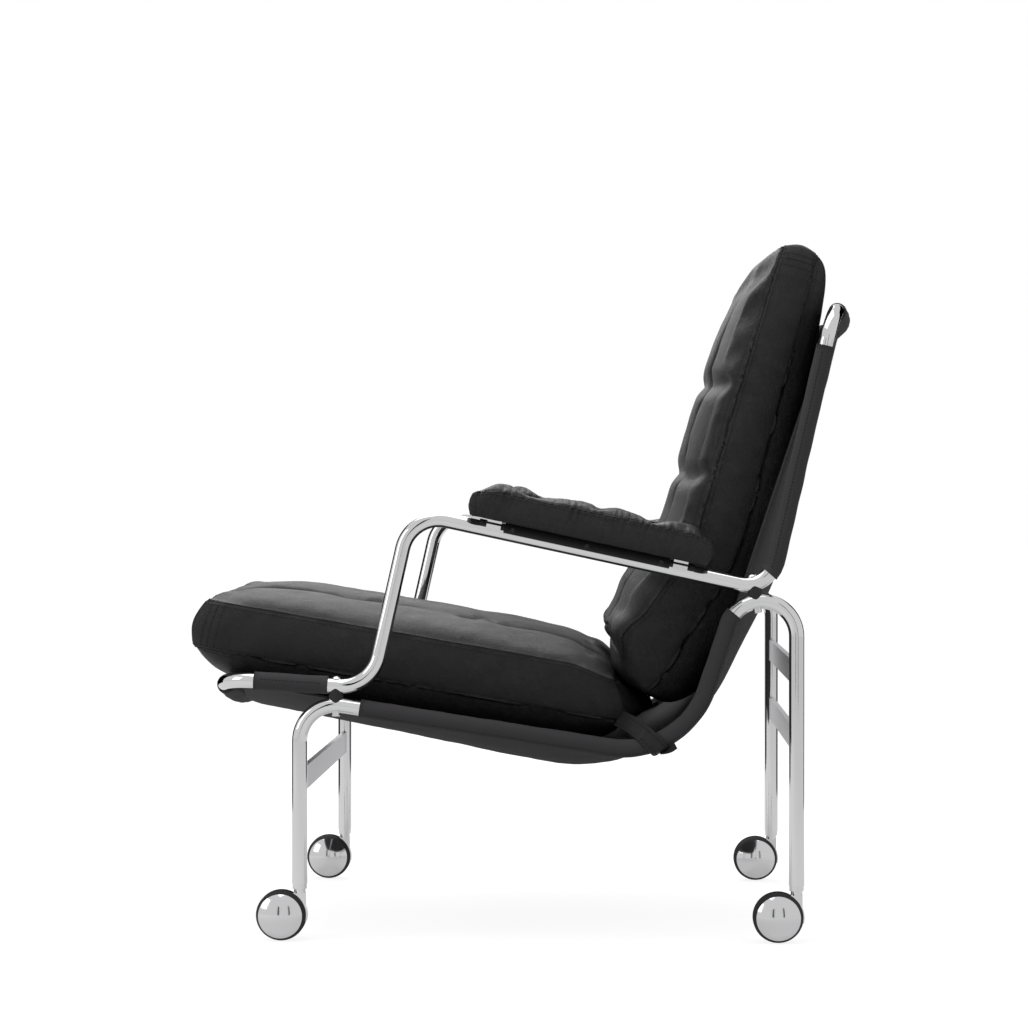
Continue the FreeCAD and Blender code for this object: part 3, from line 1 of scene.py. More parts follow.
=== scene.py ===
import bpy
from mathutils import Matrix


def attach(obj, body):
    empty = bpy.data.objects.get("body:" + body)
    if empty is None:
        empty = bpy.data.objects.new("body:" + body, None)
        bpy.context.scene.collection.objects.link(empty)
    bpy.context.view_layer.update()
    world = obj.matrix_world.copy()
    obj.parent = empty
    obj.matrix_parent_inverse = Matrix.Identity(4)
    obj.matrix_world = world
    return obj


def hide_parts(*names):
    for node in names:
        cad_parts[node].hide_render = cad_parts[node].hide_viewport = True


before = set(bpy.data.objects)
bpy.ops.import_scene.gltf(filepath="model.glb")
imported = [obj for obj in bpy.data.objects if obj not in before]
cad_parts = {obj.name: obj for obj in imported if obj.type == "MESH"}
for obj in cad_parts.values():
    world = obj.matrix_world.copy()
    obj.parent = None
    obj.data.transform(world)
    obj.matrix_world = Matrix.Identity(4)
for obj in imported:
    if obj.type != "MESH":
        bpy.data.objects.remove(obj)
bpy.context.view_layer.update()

import math

import bpy
import numpy as np
from bpy.props import FloatProperty, FloatVectorProperty, PointerProperty
from mathutils import Vector
from mathutils.bvhtree import BVHTree
from mathutils.kdtree import KDTree

bl_info = {
    "name": "Lounge Chair",
    "version": (1, 0, 0),
    "blender": (4, 5, 0),
    "location": "View3D > Sidebar > Lounge Chair",
    "description": "Dresses a lounge chair with cushions, sling, finishes and a studio",
    "category": "Object",
}

# Up is +Z, the front is -Y and the sitter's left is +X. Lengths are in metres.

SIDES = (("left", 1.0), ("right", -1.0))
TRACK = 0.320
TUBE = 0.010
SLEEVE_IN = 0.0102
SLEEVE_OUT = 0.0118

# Routes in a side's upright plane, as corners (y, z) and the radii between them

FRONT_CORNER = (-0.3997, 0.3420)
RISER_TOP = (-0.1504, 0.5587)
ARM_REAR = (0.3168, 0.4580)
TOP_CORNER = (0.4005, 0.8245)
KNEE = (-0.2960, 0.3155)
SEAT_CORNER = (0.2049, 0.2380)
REAR_LEG_Y = 0.3520
LOWER_BACK_RISE = math.radians(71.5)
HAIRPIN = (
    REAR_LEG_Y,
    SEAT_CORNER[1] + (REAR_LEG_Y - SEAT_CORNER[0]) * math.tan(LOWER_BACK_RISE),
)


class Route:
    """Straight runs joined by tangent arcs, in the plane of y and z."""

    STEP = 0.001

    def __init__(self, corners, radii):
        corners = [np.array(corner, float) for corner in corners]
        points = [corners[0]]
        for before, corner, after, radius in zip(corners, corners[1:], corners[2:], radii):
            back = (before - corner) / np.linalg.norm(before - corner)
            ahead = (after - corner) / np.linalg.norm(after - corner)
            half = math.acos(float(np.clip(back @ ahead, -1, 1))) / 2
            inward = (back + ahead) / np.linalg.norm(back + ahead)
            centre = corner + inward * radius / math.sin(half)
            entry = corner + back * radius / math.tan(half)
            sweep = math.pi - 2 * half
            steps = max(6, int(radius * sweep / self.STEP))
            points.append(entry)
            for step in range(1, steps + 1):
                turn = sweep * step / steps
                across = (entry - centre) * math.cos(turn)
                along = -back * radius * math.sin(turn)
                points.append(centre + across + along)
        points.append(corners[-1])
        self.points = np.array(points)
        runs = np.linalg.norm(np.diff(self.points, axis=0), axis=1)
        self.marks = np.concatenate([[0.0], np.cumsum(runs)])
        self.total = float(self.marks[-1])

    def at(self, distance):
        """Points and headings at distances along the route, straight on past its ends."""
        distance = np.asarray(distance, float)
        inside = np.clip(distance, 0.0, self.total)
        ahead = np.clip(inside + self.STEP, 0.0, self.total)
        behind = np.clip(inside - self.STEP, 0.0, self.total)
        point = self._lay(inside)
        heading = self._lay(ahead) - self._lay(behind)
        heading /= np.linalg.norm(heading, axis=-1, keepdims=True)
        return point + heading * (distance - inside)[..., None], heading

    def _lay(self, distance):
        y = np.interp(distance, self.marks, self.points[:, 0])
        z = np.interp(distance, self.marks, self.points[:, 1])
        return np.stack([y, z], axis=-1)

    def reach(self, point):
        """How far along the route its nearest point lies."""
        distances = np.linspace(0.0, self.total, 4000)
        gaps = np.linalg.norm(self._lay(distances) - np.array(point), axis=1)
        return float(distances[np.argmin(gaps)])


def bell(distance, reach):
    """A smooth bump, 1 at the middle and near 0 past its reach."""
    return np.exp(-((distance / reach) ** 2))


def eased(share):
    """Rises smoothly from 0 to 1 over a share of 0 to 1."""
    share = np.clip(share, 0.0, 1.0)
    return share * share * (3 - 2 * share)


def ripple(places, pitch, seed):
    """Smooth uneven waves between about -1 and 1, the same on every run."""
    draw = np.random.default_rng(seed)
    waves = np.zeros(len(places))
    for _ in range(7):
        heading = draw.normal(size=places.shape[1])
        heading /= np.linalg.norm(heading)
        stretch = draw.uniform(0.6, 1.7)
        waves += np.sin(places @ heading * (2 * math.pi / pitch) * stretch + draw.uniform(0, 6.28))
    return waves / 3.5


# Meshes


def new_object(name, vertices, faces, material, smooth=True):
    mesh = bpy.data.meshes.new(name)
    mesh.from_pydata([tuple(vertex) for vertex in vertices], [], faces)
    mesh.validate()
    mesh.polygons.foreach_set("use_smooth", [smooth] * len(mesh.polygons))
    mesh.materials.append(material)
    piece = bpy.data.objects.new(name, mesh)
    bpy.context.scene.collection.objects.link(piece)
    return piece


def positions(piece):
    spots = np.empty(len(piece.data.vertices) * 3)
    piece.data.vertices.foreach_get("co", spots)
    return spots.reshape(-1, 3)


def put(piece, spots):
    piece.data.vertices.foreach_set("co", np.asarray(spots, float).ravel())
    piece.data.update()


def normals(piece):
    piece.data.update()
    found = np.empty(len(piece.data.vertices) * 3)
    piece.data.vertex_normals.foreach_get("vector", found)
    return found.reshape(-1, 3)


def apply_modifier(piece, kind, **settings):
    modifier = piece.modifiers.new(kind.title(), kind)
    for key, value in settings.items():
        setattr(modifier, key, value)
    bpy.context.view_layer.objects.active = piece
    bpy.ops.object.modifier_apply(modifier=modifier.name)


def grid_faces(index, closed_rows=False, closed_columns=False, flip=False):
    """Quads over a table of vertex numbers."""
    rows, columns = index.shape
    faces = []
    for row in range(rows if closed_rows else rows - 1):
        for column in range(columns if closed_columns else columns - 1):
            quad = [
                int(index[row, column]),
                int(index[(row + 1) % rows, column]),
                int(index[(row + 1) % rows, (column + 1) % columns]),
                int(index[row, (column + 1) % columns]),
            ]
            faces.append(quad[::-1] if flip else quad)
    return faces


def spread(length, edge_steps, pitch):
    """Shares of a length, close together near both ends."""
    inner = edge_steps[-1]
    count = max(2, round((length - 2 * inner) / pitch))
    middle = [inner + (length - 2 * inner) * step / count for step in range(1, count)]
    marks = list(edge_steps) + middle + [length - step for step in reversed(edge_steps)]
    return np.array(marks) / length


class BoxedCushion:
    """A top panel and a bottom panel, joined by a boxing strip with a seam along both."""

    def __init__(self, along, across, rows, top, bottom, swell, place):
        """along and across are shares of the panels, rows shares of the boxing's height.
        top and bottom turn shares into (distance, side, height), swell(share, where) gives
        how far the boxing stands out, and place turns (distance, side, height) into points."""
        a, b = np.meshgrid(along, across * 2 - 1, indexing="ij")
        shape = a.shape
        upper = np.stack(top(a, b), axis=-1)
        lower = np.stack(bottom(a, b), axis=-1)
        self.top = np.arange(a.size).reshape(shape)
        self.bottom = self.top + a.size
        spots = [upper.reshape(-1, 3), lower.reshape(-1, 3)]
        faces = grid_faces(self.top) + grid_faces(self.bottom, flip=True)
        last_a, last_b = shape[0] - 1, shape[1] - 1
        rim = [(0, j) for j in range(last_b)]
        rim += [(i, last_b) for i in range(last_a)]
        rim += [(last_a, j) for j in range(last_b, 0, -1)]
        rim += [(i, 0) for i in range(last_a, 0, -1)]
        self.rim = rim
        rim_a = np.array([i for i, _ in rim])
        rim_b = np.array([j for _, j in rim])
        low, high = lower[rim_a, rim_b], upper[rim_a, rim_b]
        outward = self._outward((low + high) / 2)
        bands = [self.bottom[rim_a, rim_b]]
        start = 2 * a.size
        where = np.stack([a[rim_a, rim_b], b[rim_a, rim_b]], axis=-1)
        for share in rows[1:-1]:
            strip = low + (high - low) * share
            strip[:, :2] += outward * swell(share, where)[:, None]
            spots.append(strip)
            bands.append(np.arange(start, start + len(rim)))
            start += len(rim)
        bands.append(self.top[rim_a, rim_b])
        self.bands = np.array(bands)
        faces += grid_faces(self.bands, closed_columns=True, flip=True)
        self.spots = place(np.concatenate(spots))
        self.faces = faces

    @staticmethod
    def _outward(rim):
        ahead = np.roll(rim[:, :2], -1, axis=0) - np.roll(rim[:, :2], 1, axis=0)
        ahead /= np.linalg.norm(ahead, axis=1, keepdims=True)
        return np.stack([-ahead[:, 1], ahead[:, 0]], axis=-1)

    def corner_columns(self):
        """The places along the rim nearest to the four corners."""
        last_a, last_b = self.top.shape[0] - 1, self.top.shape[1] - 1
        spots = ((0, 0), (0, last_b), (last_a, last_b), (last_a, 0))
        return [self.rim.index(spot) for spot in spots]


def corner_drawn(a, b, length, width, radius):
    """Plan shares with rounded corners: (distance, side) of a panel of that size."""
    half = width / 2
    from_end = np.minimum(a, 1 - a) * length
    from_side = (1 - np.abs(b)) * half
    near_side = np.clip(1 - from_side / (1.3 * radius), 0, 1) ** 2
    near_end = np.clip(1 - from_end / (1.3 * radius), 0, 1) ** 2
    pull_in = 0.3 * radius * near_side * near_end
    distance = a * length + np.where(a < 0.5, 1, -1) * 0.3 * pull_in
    return distance, b * half - np.sign(b) * pull_in


CLOTH_FRAMES = 20
SMOOTHING_ROUNDS = 3
CLOTH = {
    "quality": 6,
    "mass": 0.25,
    "tension_stiffness": 18,
    "compression_stiffness": 12,
    "shear_stiffness": 6,
    "bending_stiffness": 0.6,
    "use_pressure": True,
}


def puff(piece, held, cap, pressure, slack):
    """Fills a closed cushion with air by cloth simulation, with seams and tufts held.
    cap is the furthest that each vertex may move, and slack how much longer the cloth is."""
    rest = positions(piece)
    group = piece.vertex_groups.new(name="held")
    for number, weight in held.items():
        group.add([int(number)], float(weight), "REPLACE")
    cloth = piece.modifiers.new("Cloth", "CLOTH")
    for key, value in CLOTH.items():
        setattr(cloth.settings, key, value)
    cloth.settings.uniform_pressure_force = pressure
    cloth.settings.shrink_min = -slack
    cloth.settings.vertex_group_mass = "held"
    cloth.settings.effector_weights.gravity = 0
    cloth.collision_settings.use_collision = False
    cloth.point_cache.frame_start = 1
    cloth.point_cache.frame_end = CLOTH_FRAMES
    scene = bpy.context.scene
    for number in range(1, CLOTH_FRAMES + 1):
        scene.frame_set(number)
    shaped = piece.evaluated_get(bpy.context.evaluated_depsgraph_get()).to_mesh()
    spots = np.empty(len(shaped.vertices) * 3)
    shaped.vertices.foreach_get("co", spots)
    piece.modifiers.remove(cloth)
    scene.frame_set(1)
    piece.vertex_groups.clear()
    move = np.nan_to_num(spots.reshape(-1, 3) - rest)
    firm = [number for number, weight in held.items() if weight >= 1.0]
    move = smoothed(piece, move, firm)
    reach = np.linalg.norm(move, axis=1, keepdims=True)
    move *= np.minimum(1.0, cap[:, None] / np.maximum(reach, 1e-9))
    put(piece, rest + move)


def smoothed(piece, move, firm):
    """Evens out how far neighbouring vertices move, with the firm ones at rest."""
    edges = np.empty(len(piece.data.edges) * 2, int)
    piece.data.edges.foreach_get("vertices", edges)
    first, second = edges.reshape(-1, 2).T
    joined = np.bincount(np.concatenate([first, second]), minlength=len(move))[:, None]
    for _ in range(SMOOTHING_ROUNDS):
        around = np.zeros_like(move)
        np.add.at(around, first, move[second])
        np.add.at(around, second, move[first])
        move = 0.5 * move + 0.5 * around / joined
        move[firm] = 0.0
    return move


def track_points(piece, numbers, closed):
    spots = positions(piece)[np.array(numbers)]
    return np.vstack([spots, spots[:1]]) if closed else spots


def even_steps(points, pitch):
    """Points spaced evenly along a line of points, with their headings and distances."""
    runs = np.linalg.norm(np.diff(points, axis=0), axis=1)
    marks = np.concatenate([[0.0], np.cumsum(runs)])
    count = max(2, int(marks[-1] / pitch))
    where = (np.arange(count) + 0.5) * marks[-1] / count

    def lay(distances):
        axes = [np.interp(distances, marks, points[:, axis]) for axis in range(3)]
        return np.stack(axes, axis=-1)

    heading = lay(where + 0.001) - lay(where - 0.001)
    heading /= np.maximum(np.linalg.norm(heading, axis=1, keepdims=True), 1e-9)
    return lay(where), heading, where


def pucker(piece, lines, pitch, reach, height, seed):
    """Small gathers that run away from the seams."""
    spots = positions(piece)
    facing = normals(piece)
    samples, lengths = [], []
    passed = 0.0
    for line in lines:
        spaced, _, where = even_steps(line, 0.003)
        samples.append(spaced)
        lengths.append(where + passed)
        passed += where[-1] + 1.0
    samples = np.vstack(samples)
    lengths = np.concatenate(lengths)
    tree = KDTree(len(samples))
    for number, sample in enumerate(samples):
        tree.insert(sample, number)
    tree.balance()
    far = np.empty(len(spots))
    along = np.empty(len(spots))
    for number, spot in enumerate(spots):
        _, nearest, gap = tree.find(spot)
        far[number] = gap
        along[number] = lengths[nearest]
    wave = ripple(along[:, None], pitch, seed)
    wave += 0.5 * ripple(along[:, None], pitch * 0.45, seed + 1)
    strength = ripple(along[:, None], pitch * 9, seed + 2) * 0.4 + 0.7
    lift = height * wave * strength * np.exp(-far / reach) * eased(far / 0.002)
    put(piece, spots + facing * lift[:, None])


def skin_of(piece):
    """The piece's faces as a tree that finds the nearest place on them."""
    polygons = [tuple(polygon.vertices) for polygon in piece.data.polygons]
    return BVHTree.FromPolygons([tuple(spot) for spot in positions(piece)], polygons)


STITCH_LENGTH = 0.0034
STITCH_WIDTH = 0.0013
STITCH_SIDES = 5
# Rings of a stitch: place along it, and how full it is there
STITCH_RINGS = ((-0.5, 0.35), (-0.38, 0.85), (0.0, 1.0), (0.38, 0.85), (0.5, 0.35))


def stitches(name, target, lines):
    """Rows of sewn thread laid on a piece along lines."""
    skin = skin_of(target)
    vertices, faces = [], []
    for line in lines:
        spaced, heading, _ = even_steps(line, bpy.context.scene.chair_finish.stitch)
        for spot, ahead in zip(spaced, heading):
            hit, face_normal, _, _ = skin.find_nearest(Vector(spot))
            if hit is None:
                continue
            up = np.array(face_normal)
            across = np.cross(up, ahead)
            across /= max(np.linalg.norm(across), 1e-9)
            centre = np.array(hit) + up * STITCH_WIDTH * 0.18
            base = len(vertices)
            for share, full in STITCH_RINGS:
                ring_centre = centre + ahead * share * STITCH_LENGTH
                ring_centre = ring_centre - up * STITCH_WIDTH * (1 - full) * 0.6
                for turn in range(STITCH_SIDES):
                    angle = 2 * math.pi * turn / STITCH_SIDES
                    offset = across * math.cos(angle) * full + up * math.sin(angle) * full * 0.7
                    vertices.append(ring_centre + offset * STITCH_WIDTH / 2)
            index = base + np.arange(len(STITCH_RINGS) * STITCH_SIDES)
            index = index.reshape(len(STITCH_RINGS), STITCH_SIDES)
            faces += grid_faces(index, closed_columns=True, flip=True)
            faces += end_caps(index)
    sewn = new_object(name + "_stitching", vertices, faces, surface("thread"))
    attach(sewn, "root")
    return sewn


def end_caps(index):
    """Faces over both ends of a tube that is a table of vertex numbers."""
    return [[int(number) for number in index[0]][::-1], [int(number) for number in index[-1]]]


# Painted shade: dark cords that stand in for the shadow in the seams' grooves
SHADE_CORD_RADIUS = 0.0006
SHADE_CORD_SIDES = 6
SHADE_CORD_PITCH = 0.003


def painted_seam_shade_cords(name, target, lines):
    """A thin unbroken dark cord laid in each seam of a piece: painted shade that stands in for the
    shadow in the seam's groove.
    """
    skin = skin_of(target)
    vertices, faces = [], []
    for line in lines:
        closed = bool(np.allclose(line[0], line[-1]))
        spaced, heading, _ = even_steps(line, SHADE_CORD_PITCH)
        base = len(vertices)
        for spot, ahead in zip(spaced, heading):
            _, face_normal, _, _ = skin.find_nearest(Vector(spot))
            across = np.cross(np.array(face_normal), ahead)
            across /= max(np.linalg.norm(across), 1e-9)
            up = np.cross(ahead, across)
            for turn in range(SHADE_CORD_SIDES):
                angle = 2 * math.pi * turn / SHADE_CORD_SIDES
                offset = across * math.cos(angle) + up * math.sin(angle)
                vertices.append(spot + offset * SHADE_CORD_RADIUS)
        index = base + np.arange(len(spaced) * SHADE_CORD_SIDES).reshape(len(spaced), SHADE_CORD_SIDES)
        faces += grid_faces(index, closed_rows=closed, closed_columns=True, flip=True)
        if not closed:
            faces += end_caps(index)
    # The cord takes the thread's near-black colour as painted seam shade
    shade_cords = new_object(name + "_seams", vertices, faces, surface("thread"))
    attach(shade_cords, "root")


# Materials


class Surface:
    """A node material built up socket by socket."""

    def __init__(self, name):
        self.material = bpy.data.materials.new(name)
        self.material.use_nodes = True
        self.tree = self.material.node_tree
        self.shader = self.tree.nodes["Principled BSDF"]

    def node(self, kind, inputs=None, **settings):
        made = self.tree.nodes.new("ShaderNode" + kind)
        for key, value in settings.items():
            setattr(made, key, value)
        for key, value in (inputs or {}).items():
            self.feed(made, key, value)
        return made

    def feed(self, target, socket, value):
        if isinstance(value, bpy.types.NodeSocket):
            self.tree.links.new(value, target.inputs[socket])
        else:
            target.inputs[socket].default_value = value

    def set(self, **values):
        for key, value in values.items():
            self.feed(self.shader, key.replace("_", " "), value)

    def places(self, scale=(1.0, 1.0, 1.0), use="Object"):
        where = self.node("TexCoord").outputs[use]
        return self.node("Mapping", {"Vector": where, "Scale": scale}).outputs["Vector"]

    def noise(self, where, scale, detail=2.0, roughness=0.5):
        inputs = {"Vector": where, "Scale": scale, "Detail": detail, "Roughness": roughness}
        return self.node("TexNoise", inputs).outputs["Fac"]

    def ranged(self, value, low, high, start=0.0, stop=1.0):
        inputs = {"Value": value, "From Min": start, "From Max": stop}
        inputs.update({"To Min": low, "To Max": high})
        return self.node("MapRange", inputs).outputs["Result"]

    def math(self, operation, first, second=0.0):
        return self.node("Math", {0: first, 1: second}, operation=operation).outputs[0]

    def blended(self, share, first, second):
        made = self.node("Mix", data_type="RGBA")
        self.feed(made, 0, share)
        self.feed(made, 6, first)
        self.feed(made, 7, second)
        return made.outputs[2]

    def bump(self, height, strength, distance, under=None):
        inputs = {"Height": height, "Strength": strength, "Distance": distance}
        made = self.node("Bump", inputs)
        if under is not None:
            self.feed(made, "Normal", under)
        return made.outputs["Normal"]


def shade(colour, factor):
    return (colour[0] * factor, colour[1] * factor, colour[2] * factor, 1.0)


def chrome_surface(name, colour, gloss, marks):
    """Bright plating: a faint unevenness in the gloss and hair-fine polishing marks."""
    made = Surface(name)
    where = made.places()
    cloud = made.noise(where, 9.0, 3.0)
    fine = made.noise(made.places((40.0, 40.0, 4.0)), 60.0, 2.0)
    uneven = made.ranged(cloud, gloss * 0.6, gloss * 1.6)
    rough = made.math("ADD", uneven, made.ranged(fine, 0.0, 0.02))
    tint = made.blended(cloud, shade(colour, 0.96), shade(colour, 1.02))
    made.set(Base_Color=tint, Metallic=1.0, Roughness=rough)
    made.set(Normal=made.bump(fine, marks, 0.0002))
    return made.material


def satin_surface(name, colour):
    """Satin plating with brushing along the bar."""
    made = Surface(name)
    brushed = made.noise(made.places((3.0, 400.0, 400.0)), 6.0, 3.0, 0.7)
    cloud = made.noise(made.places(), 6.0, 2.0)
    made.set(
        Base_Color=made.blended(cloud, shade(colour, 0.94), shade(colour, 1.03)),
        Metallic=1.0,
        Roughness=made.ranged(brushed, 0.26, 0.4),
        Normal=made.bump(brushed, 0.12, 0.0003),
    )
    return made.material


def plastic_surface(name, colour, rough):
    """Moulded plastic or rubber with a fine spark-eroded texture."""
    made = Surface(name)
    where = made.places()
    grain = made.noise(where, 1400.0, 2.0, 0.6)
    cloud = made.noise(where, 30.0, 2.0)
    made.set(
        Base_Color=made.blended(cloud, shade(colour, 0.85), shade(colour, 1.2)),
        Roughness=made.ranged(cloud, rough * 0.85, rough * 1.15),
        Normal=made.bump(grain, 0.25, 0.0003),
    )
    return made.material


def leather_surface(name, colour, grain_size, wear):
    """Soft dyed leather: pebbled grain with painted shade in its crevices, pores, long fine creases
    and uneven polish.
    """
    made = Surface(name)
    where = made.places()
    bend = made.node("TexNoise", {"Vector": where, "Scale": 55.0, "Detail": 2.0})
    warped = made.node("Mix", data_type="VECTOR")
    made.feed(warped, 0, 0.008)
    made.feed(warped, 4, where)
    made.feed(warped, 5, bend.outputs["Color"])
    cells = made.node(
        "TexVoronoi",
        {"Vector": warped.outputs[1], "Scale": 1.0 / grain_size, "Randomness": 0.9},
        feature="DISTANCE_TO_EDGE",
    ).outputs["Distance"]
    pebble_and_crevice_shade = made.ranged(cells, 0.0, 1.0, 0.0, 0.22)
    pores = made.noise(where, 2.6 / grain_size, 2.0, 0.6)
    creases = made.noise(made.places((1.0, 1.0, 0.35)), 70.0, 4.0, 0.62)
    lines = made.math("ABSOLUTE", made.math("SUBTRACT", creases, 0.5))
    lines = made.ranged(lines, 0.0, 1.0, 0.0, 0.05)
    cloud = made.noise(where, 5.0, 3.0, 0.55)
    base = made.blended(cloud, shade(colour, 0.8), shade(colour, 1.3))
    # Painted shade: the colour is darkened in the crevices between the grain's pebbles
    base = made.blended(made.ranged(pebble_and_crevice_shade, 0.35, 0.0), base, shade(colour, 0.45))
    rough = made.ranged(cloud, wear * 0.82, wear * 1.2)
    rough = made.math("ADD", rough, made.ranged(pebble_and_crevice_shade, 0.1, 0.0))
    ground = made.bump(lines, 0.35, 0.0010)
    ground = made.bump(pebble_and_crevice_shade, 0.8, 0.00060, ground)
    ground = made.bump(pores, 0.25, 0.00025, ground)
    made.set(Base_Color=base, Roughness=rough, Normal=ground)
    made.set(Specular_IOR_Level=0.5)
    return made.material


def thread_surface(name, colour):
    """Twisted sewing thread."""
    made = Surface(name)
    twist = made.node(
        "TexWave",
        {"Vector": made.places(), "Scale": 900.0, "Distortion": 1.5},
        bands_direction="DIAGONAL",
    ).outputs["Fac"]
    made.set(
        Base_Color=made.blended(twist, shade(colour, 0.6), shade(colour, 1.3)),
        Roughness=made.ranged(twist, 0.75, 0.5),
        Normal=made.bump(twist, 0.4, 0.0002),
    )
    return made.material


def canvas_surface(name, colour, rib):
    """Twill canvas woven over the cloth's own length and width."""
    made = Surface(name)
    flat = made.places(use="UV")
    slant = made.node("Mapping", {"Vector": flat, "Rotation": (0.0, 0.0, math.radians(62))})
    ribs = made.node(
        "TexWave",
        {"Vector": slant.outputs["Vector"], "Scale": 0.314 / rib, "Distortion": 0.6, "Detail": 1.0},
        bands_direction="X",
    ).outputs["Fac"]
    warp = made.node(
        "TexWave", {"Vector": flat, "Scale": 0.5 / rib, "Distortion": 0.3}, bands_direction="X"
    ).outputs["Fac"]
    slub = made.noise(made.places((14.0, 60.0, 1.0), use="UV"), 9.0, 3.0, 0.6)
    cloud = made.noise(flat, 4.0, 3.0)
    weave = made.math("ADD", made.math("MULTIPLY", ribs, 0.7), made.math("MULTIPLY", warp, 0.3))
    base = made.blended(weave, shade(colour, 0.3), shade(colour, 1.5))
    base = made.blended(made.ranged(slub, 0.0, 0.6), base, shade(colour, 1.8))
    base = made.blended(made.ranged(cloud, 0.0, 0.3), base, shade(colour, 0.7))
    made.set(
        Base_Color=base,
        Roughness=made.ranged(weave, 0.95, 0.78),
        Normal=made.bump(weave, 0.8, 0.0005, made.bump(slub, 0.4, 0.0006)),
    )
    made.set(Sheen_Weight=0.08, Sheen_Roughness=0.5, Specular_IOR_Level=0.15)
    return made.material


def wood_surface(name, colour):
    """Bare plywood with its grain along the board."""
    made = Surface(name)
    grain = made.noise(made.places((60.0, 4.0, 60.0)), 4.0, 4.0, 0.6)
    made.set(
        Base_Color=made.blended(grain, shade(colour, 0.75), shade(colour, 1.1)),
        Roughness=made.ranged(grain, 0.5, 0.7),
        Normal=made.bump(grain, 0.2, 0.0005),
    )
    return made.material


def dress(names, material):
    """Gives CAD nodes a finish in their own material slots."""
    for name in names:
        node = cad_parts[name]
        if not node.material_slots:
            node.data.materials.append(material)
        for entry in node.material_slots:
            entry.link = "OBJECT"
            entry.material = material


def both(name):
    return [f"{name}_left", f"{name}_right"]


def corners(name):
    return [f"{name}_{leg}_{side}" for leg in ("front", "rear") for side in ("left", "right")]


# What a user would change


def length_property(name, about, default):
    """A length in metres that a user may change."""
    return FloatProperty(name=name, description=about, default=default, unit="LENGTH")


def colour_property(name, about, default):
    """A colour that a user may change."""
    return FloatVectorProperty(name=name, description=about, default=default, subtype="COLOR")


class ChairSeat(bpy.types.PropertyGroup):
    """Sizes of the seat cushion."""

    front_y: length_property("Front", "Lower front edge", -0.442)
    front_z: length_property("Height", "Height of the lower front edge", 0.3817)
    slope: FloatProperty(
        name="Slope",
        description="Fall of the cushion to the rear",
        default=math.radians(9.8),
        subtype="ANGLE",
        unit="ROTATION",
    )
    half_width: length_property("Half width", "Middle to side seam", 0.281)
    top_start: length_property("Top start", "Front seam of the top panel", 0.0080)
    top_end: length_property("Top end", "Rear seam of the top panel", 0.558)
    bottom_start: length_property("Bottom start", "Front seam of the bottom panel", 0.0)
    bottom_end: length_property("Bottom end", "Rear seam of the bottom panel", 0.582)
    side: length_property("Boxing", "Height of the boxing strip", 0.0635)
    crown: length_property("Crown", "Top of the cushion above its seam", 0.042)
    crease: length_property("Crease", "Depth of the lengthwise creases", 0.0145)
    tuft: length_property("Tuft", "Further depth of a tuft", 0.019)


class ChairBack(bpy.types.PropertyGroup):
    """Sizes of the back cushion."""

    half_width: length_property("Half width", "Middle to side seam", 0.270)
    side_foot: length_property("Boxing, foot", "Boxing at the foot", 0.061)
    side_head: length_property("Boxing, head", "Boxing at the head", 0.046)
    front_start: length_property("Front start", "Lower seam of the front panel", 0.007)
    crown: length_property("Crown", "Swell of the front", 0.056)
    crease: length_property("Crease", "Depth of the lengthwise creases", 0.010)
    tuft: length_property("Tuft", "Further depth of a tuft", 0.015)


class ChairArm(bpy.types.PropertyGroup):
    """Sizes of the arm pads."""

    middle: length_property("Middle", "From the riser's corner along the arm", 0.234)
    half_width: length_property("Half width", "Half the width of a pad", 0.0385)
    side: length_property("Side", "Height of its sides", 0.035)
    crown: length_property("Crown", "Crown of its top", 0.011)
    pull_pitch: length_property("Pulls", "Between the pulls along its middle", 0.080)
    length: length_property("Length", "Length of a pad", 0.316)


class ChairFinish(bpy.types.PropertyGroup):
    """Colours and finishes."""

    chrome: colour_property("Chrome", "Plated tube", (0.86, 0.86, 0.87))
    satin: colour_property("Satin chrome", "Crossbars", (0.74, 0.74, 0.75))
    leather: colour_property("Leather", "Cushions and straps", (0.009, 0.009, 0.0095))
    thread: colour_property("Thread", "Sewing thread", (0.004, 0.004, 0.004))
    canvas: colour_property("Canvas", "Sling", (0.0125, 0.0122, 0.013))
    plastic: colour_property("Plastic", "Spacers and channels", (0.012, 0.012, 0.013))
    grain: length_property("Grain", "Size of the leather's pebbles", 0.0019)
    stitch: length_property("Stitch", "From one stitch to the next", 0.0046)
    pressure: FloatProperty(name="Filling", description="Air pressure of the filling", default=3.0)
    floor: colour_property("Floor", "Floor and backdrop", (0.9, 0.9, 0.9))


GROUPS = (
    ("chair_seat", ChairSeat),
    ("chair_back", ChairBack),
    ("chair_arm", ChairArm),
    ("chair_finish", ChairFinish),
)


def surface(name):
    """A finish by name, made on first use."""
    if name in bpy.data.materials:
        return bpy.data.materials[name]
    finish = bpy.context.scene.chair_finish
    makers = {
        "bright_chrome": lambda: chrome_surface(name, finish.chrome, 0.045, 0.02),
        "caster_chrome": lambda: chrome_surface(name, finish.chrome, 0.07, 0.03),
        "satin_chrome": lambda: satin_surface(name, finish.satin),
        "zinc": lambda: satin_surface(name, (0.55, 0.55, 0.57)),
        "black_plastic": lambda: plastic_surface(name, finish.plastic, 0.42),
        "tread": lambda: plastic_surface(name, (0.022, 0.022, 0.023), 0.5),
        "black_leather": lambda: leather_surface(name, finish.leather, finish.grain, 0.40),
        "thread": lambda: thread_surface(name, finish.thread),
        "canvas": lambda: canvas_surface(name, finish.canvas, 0.0022),
        "plywood": lambda: wood_surface(name, (0.55, 0.40, 0.25)),
    }
    return makers[name]()


# Rigid pieces of the CAD model


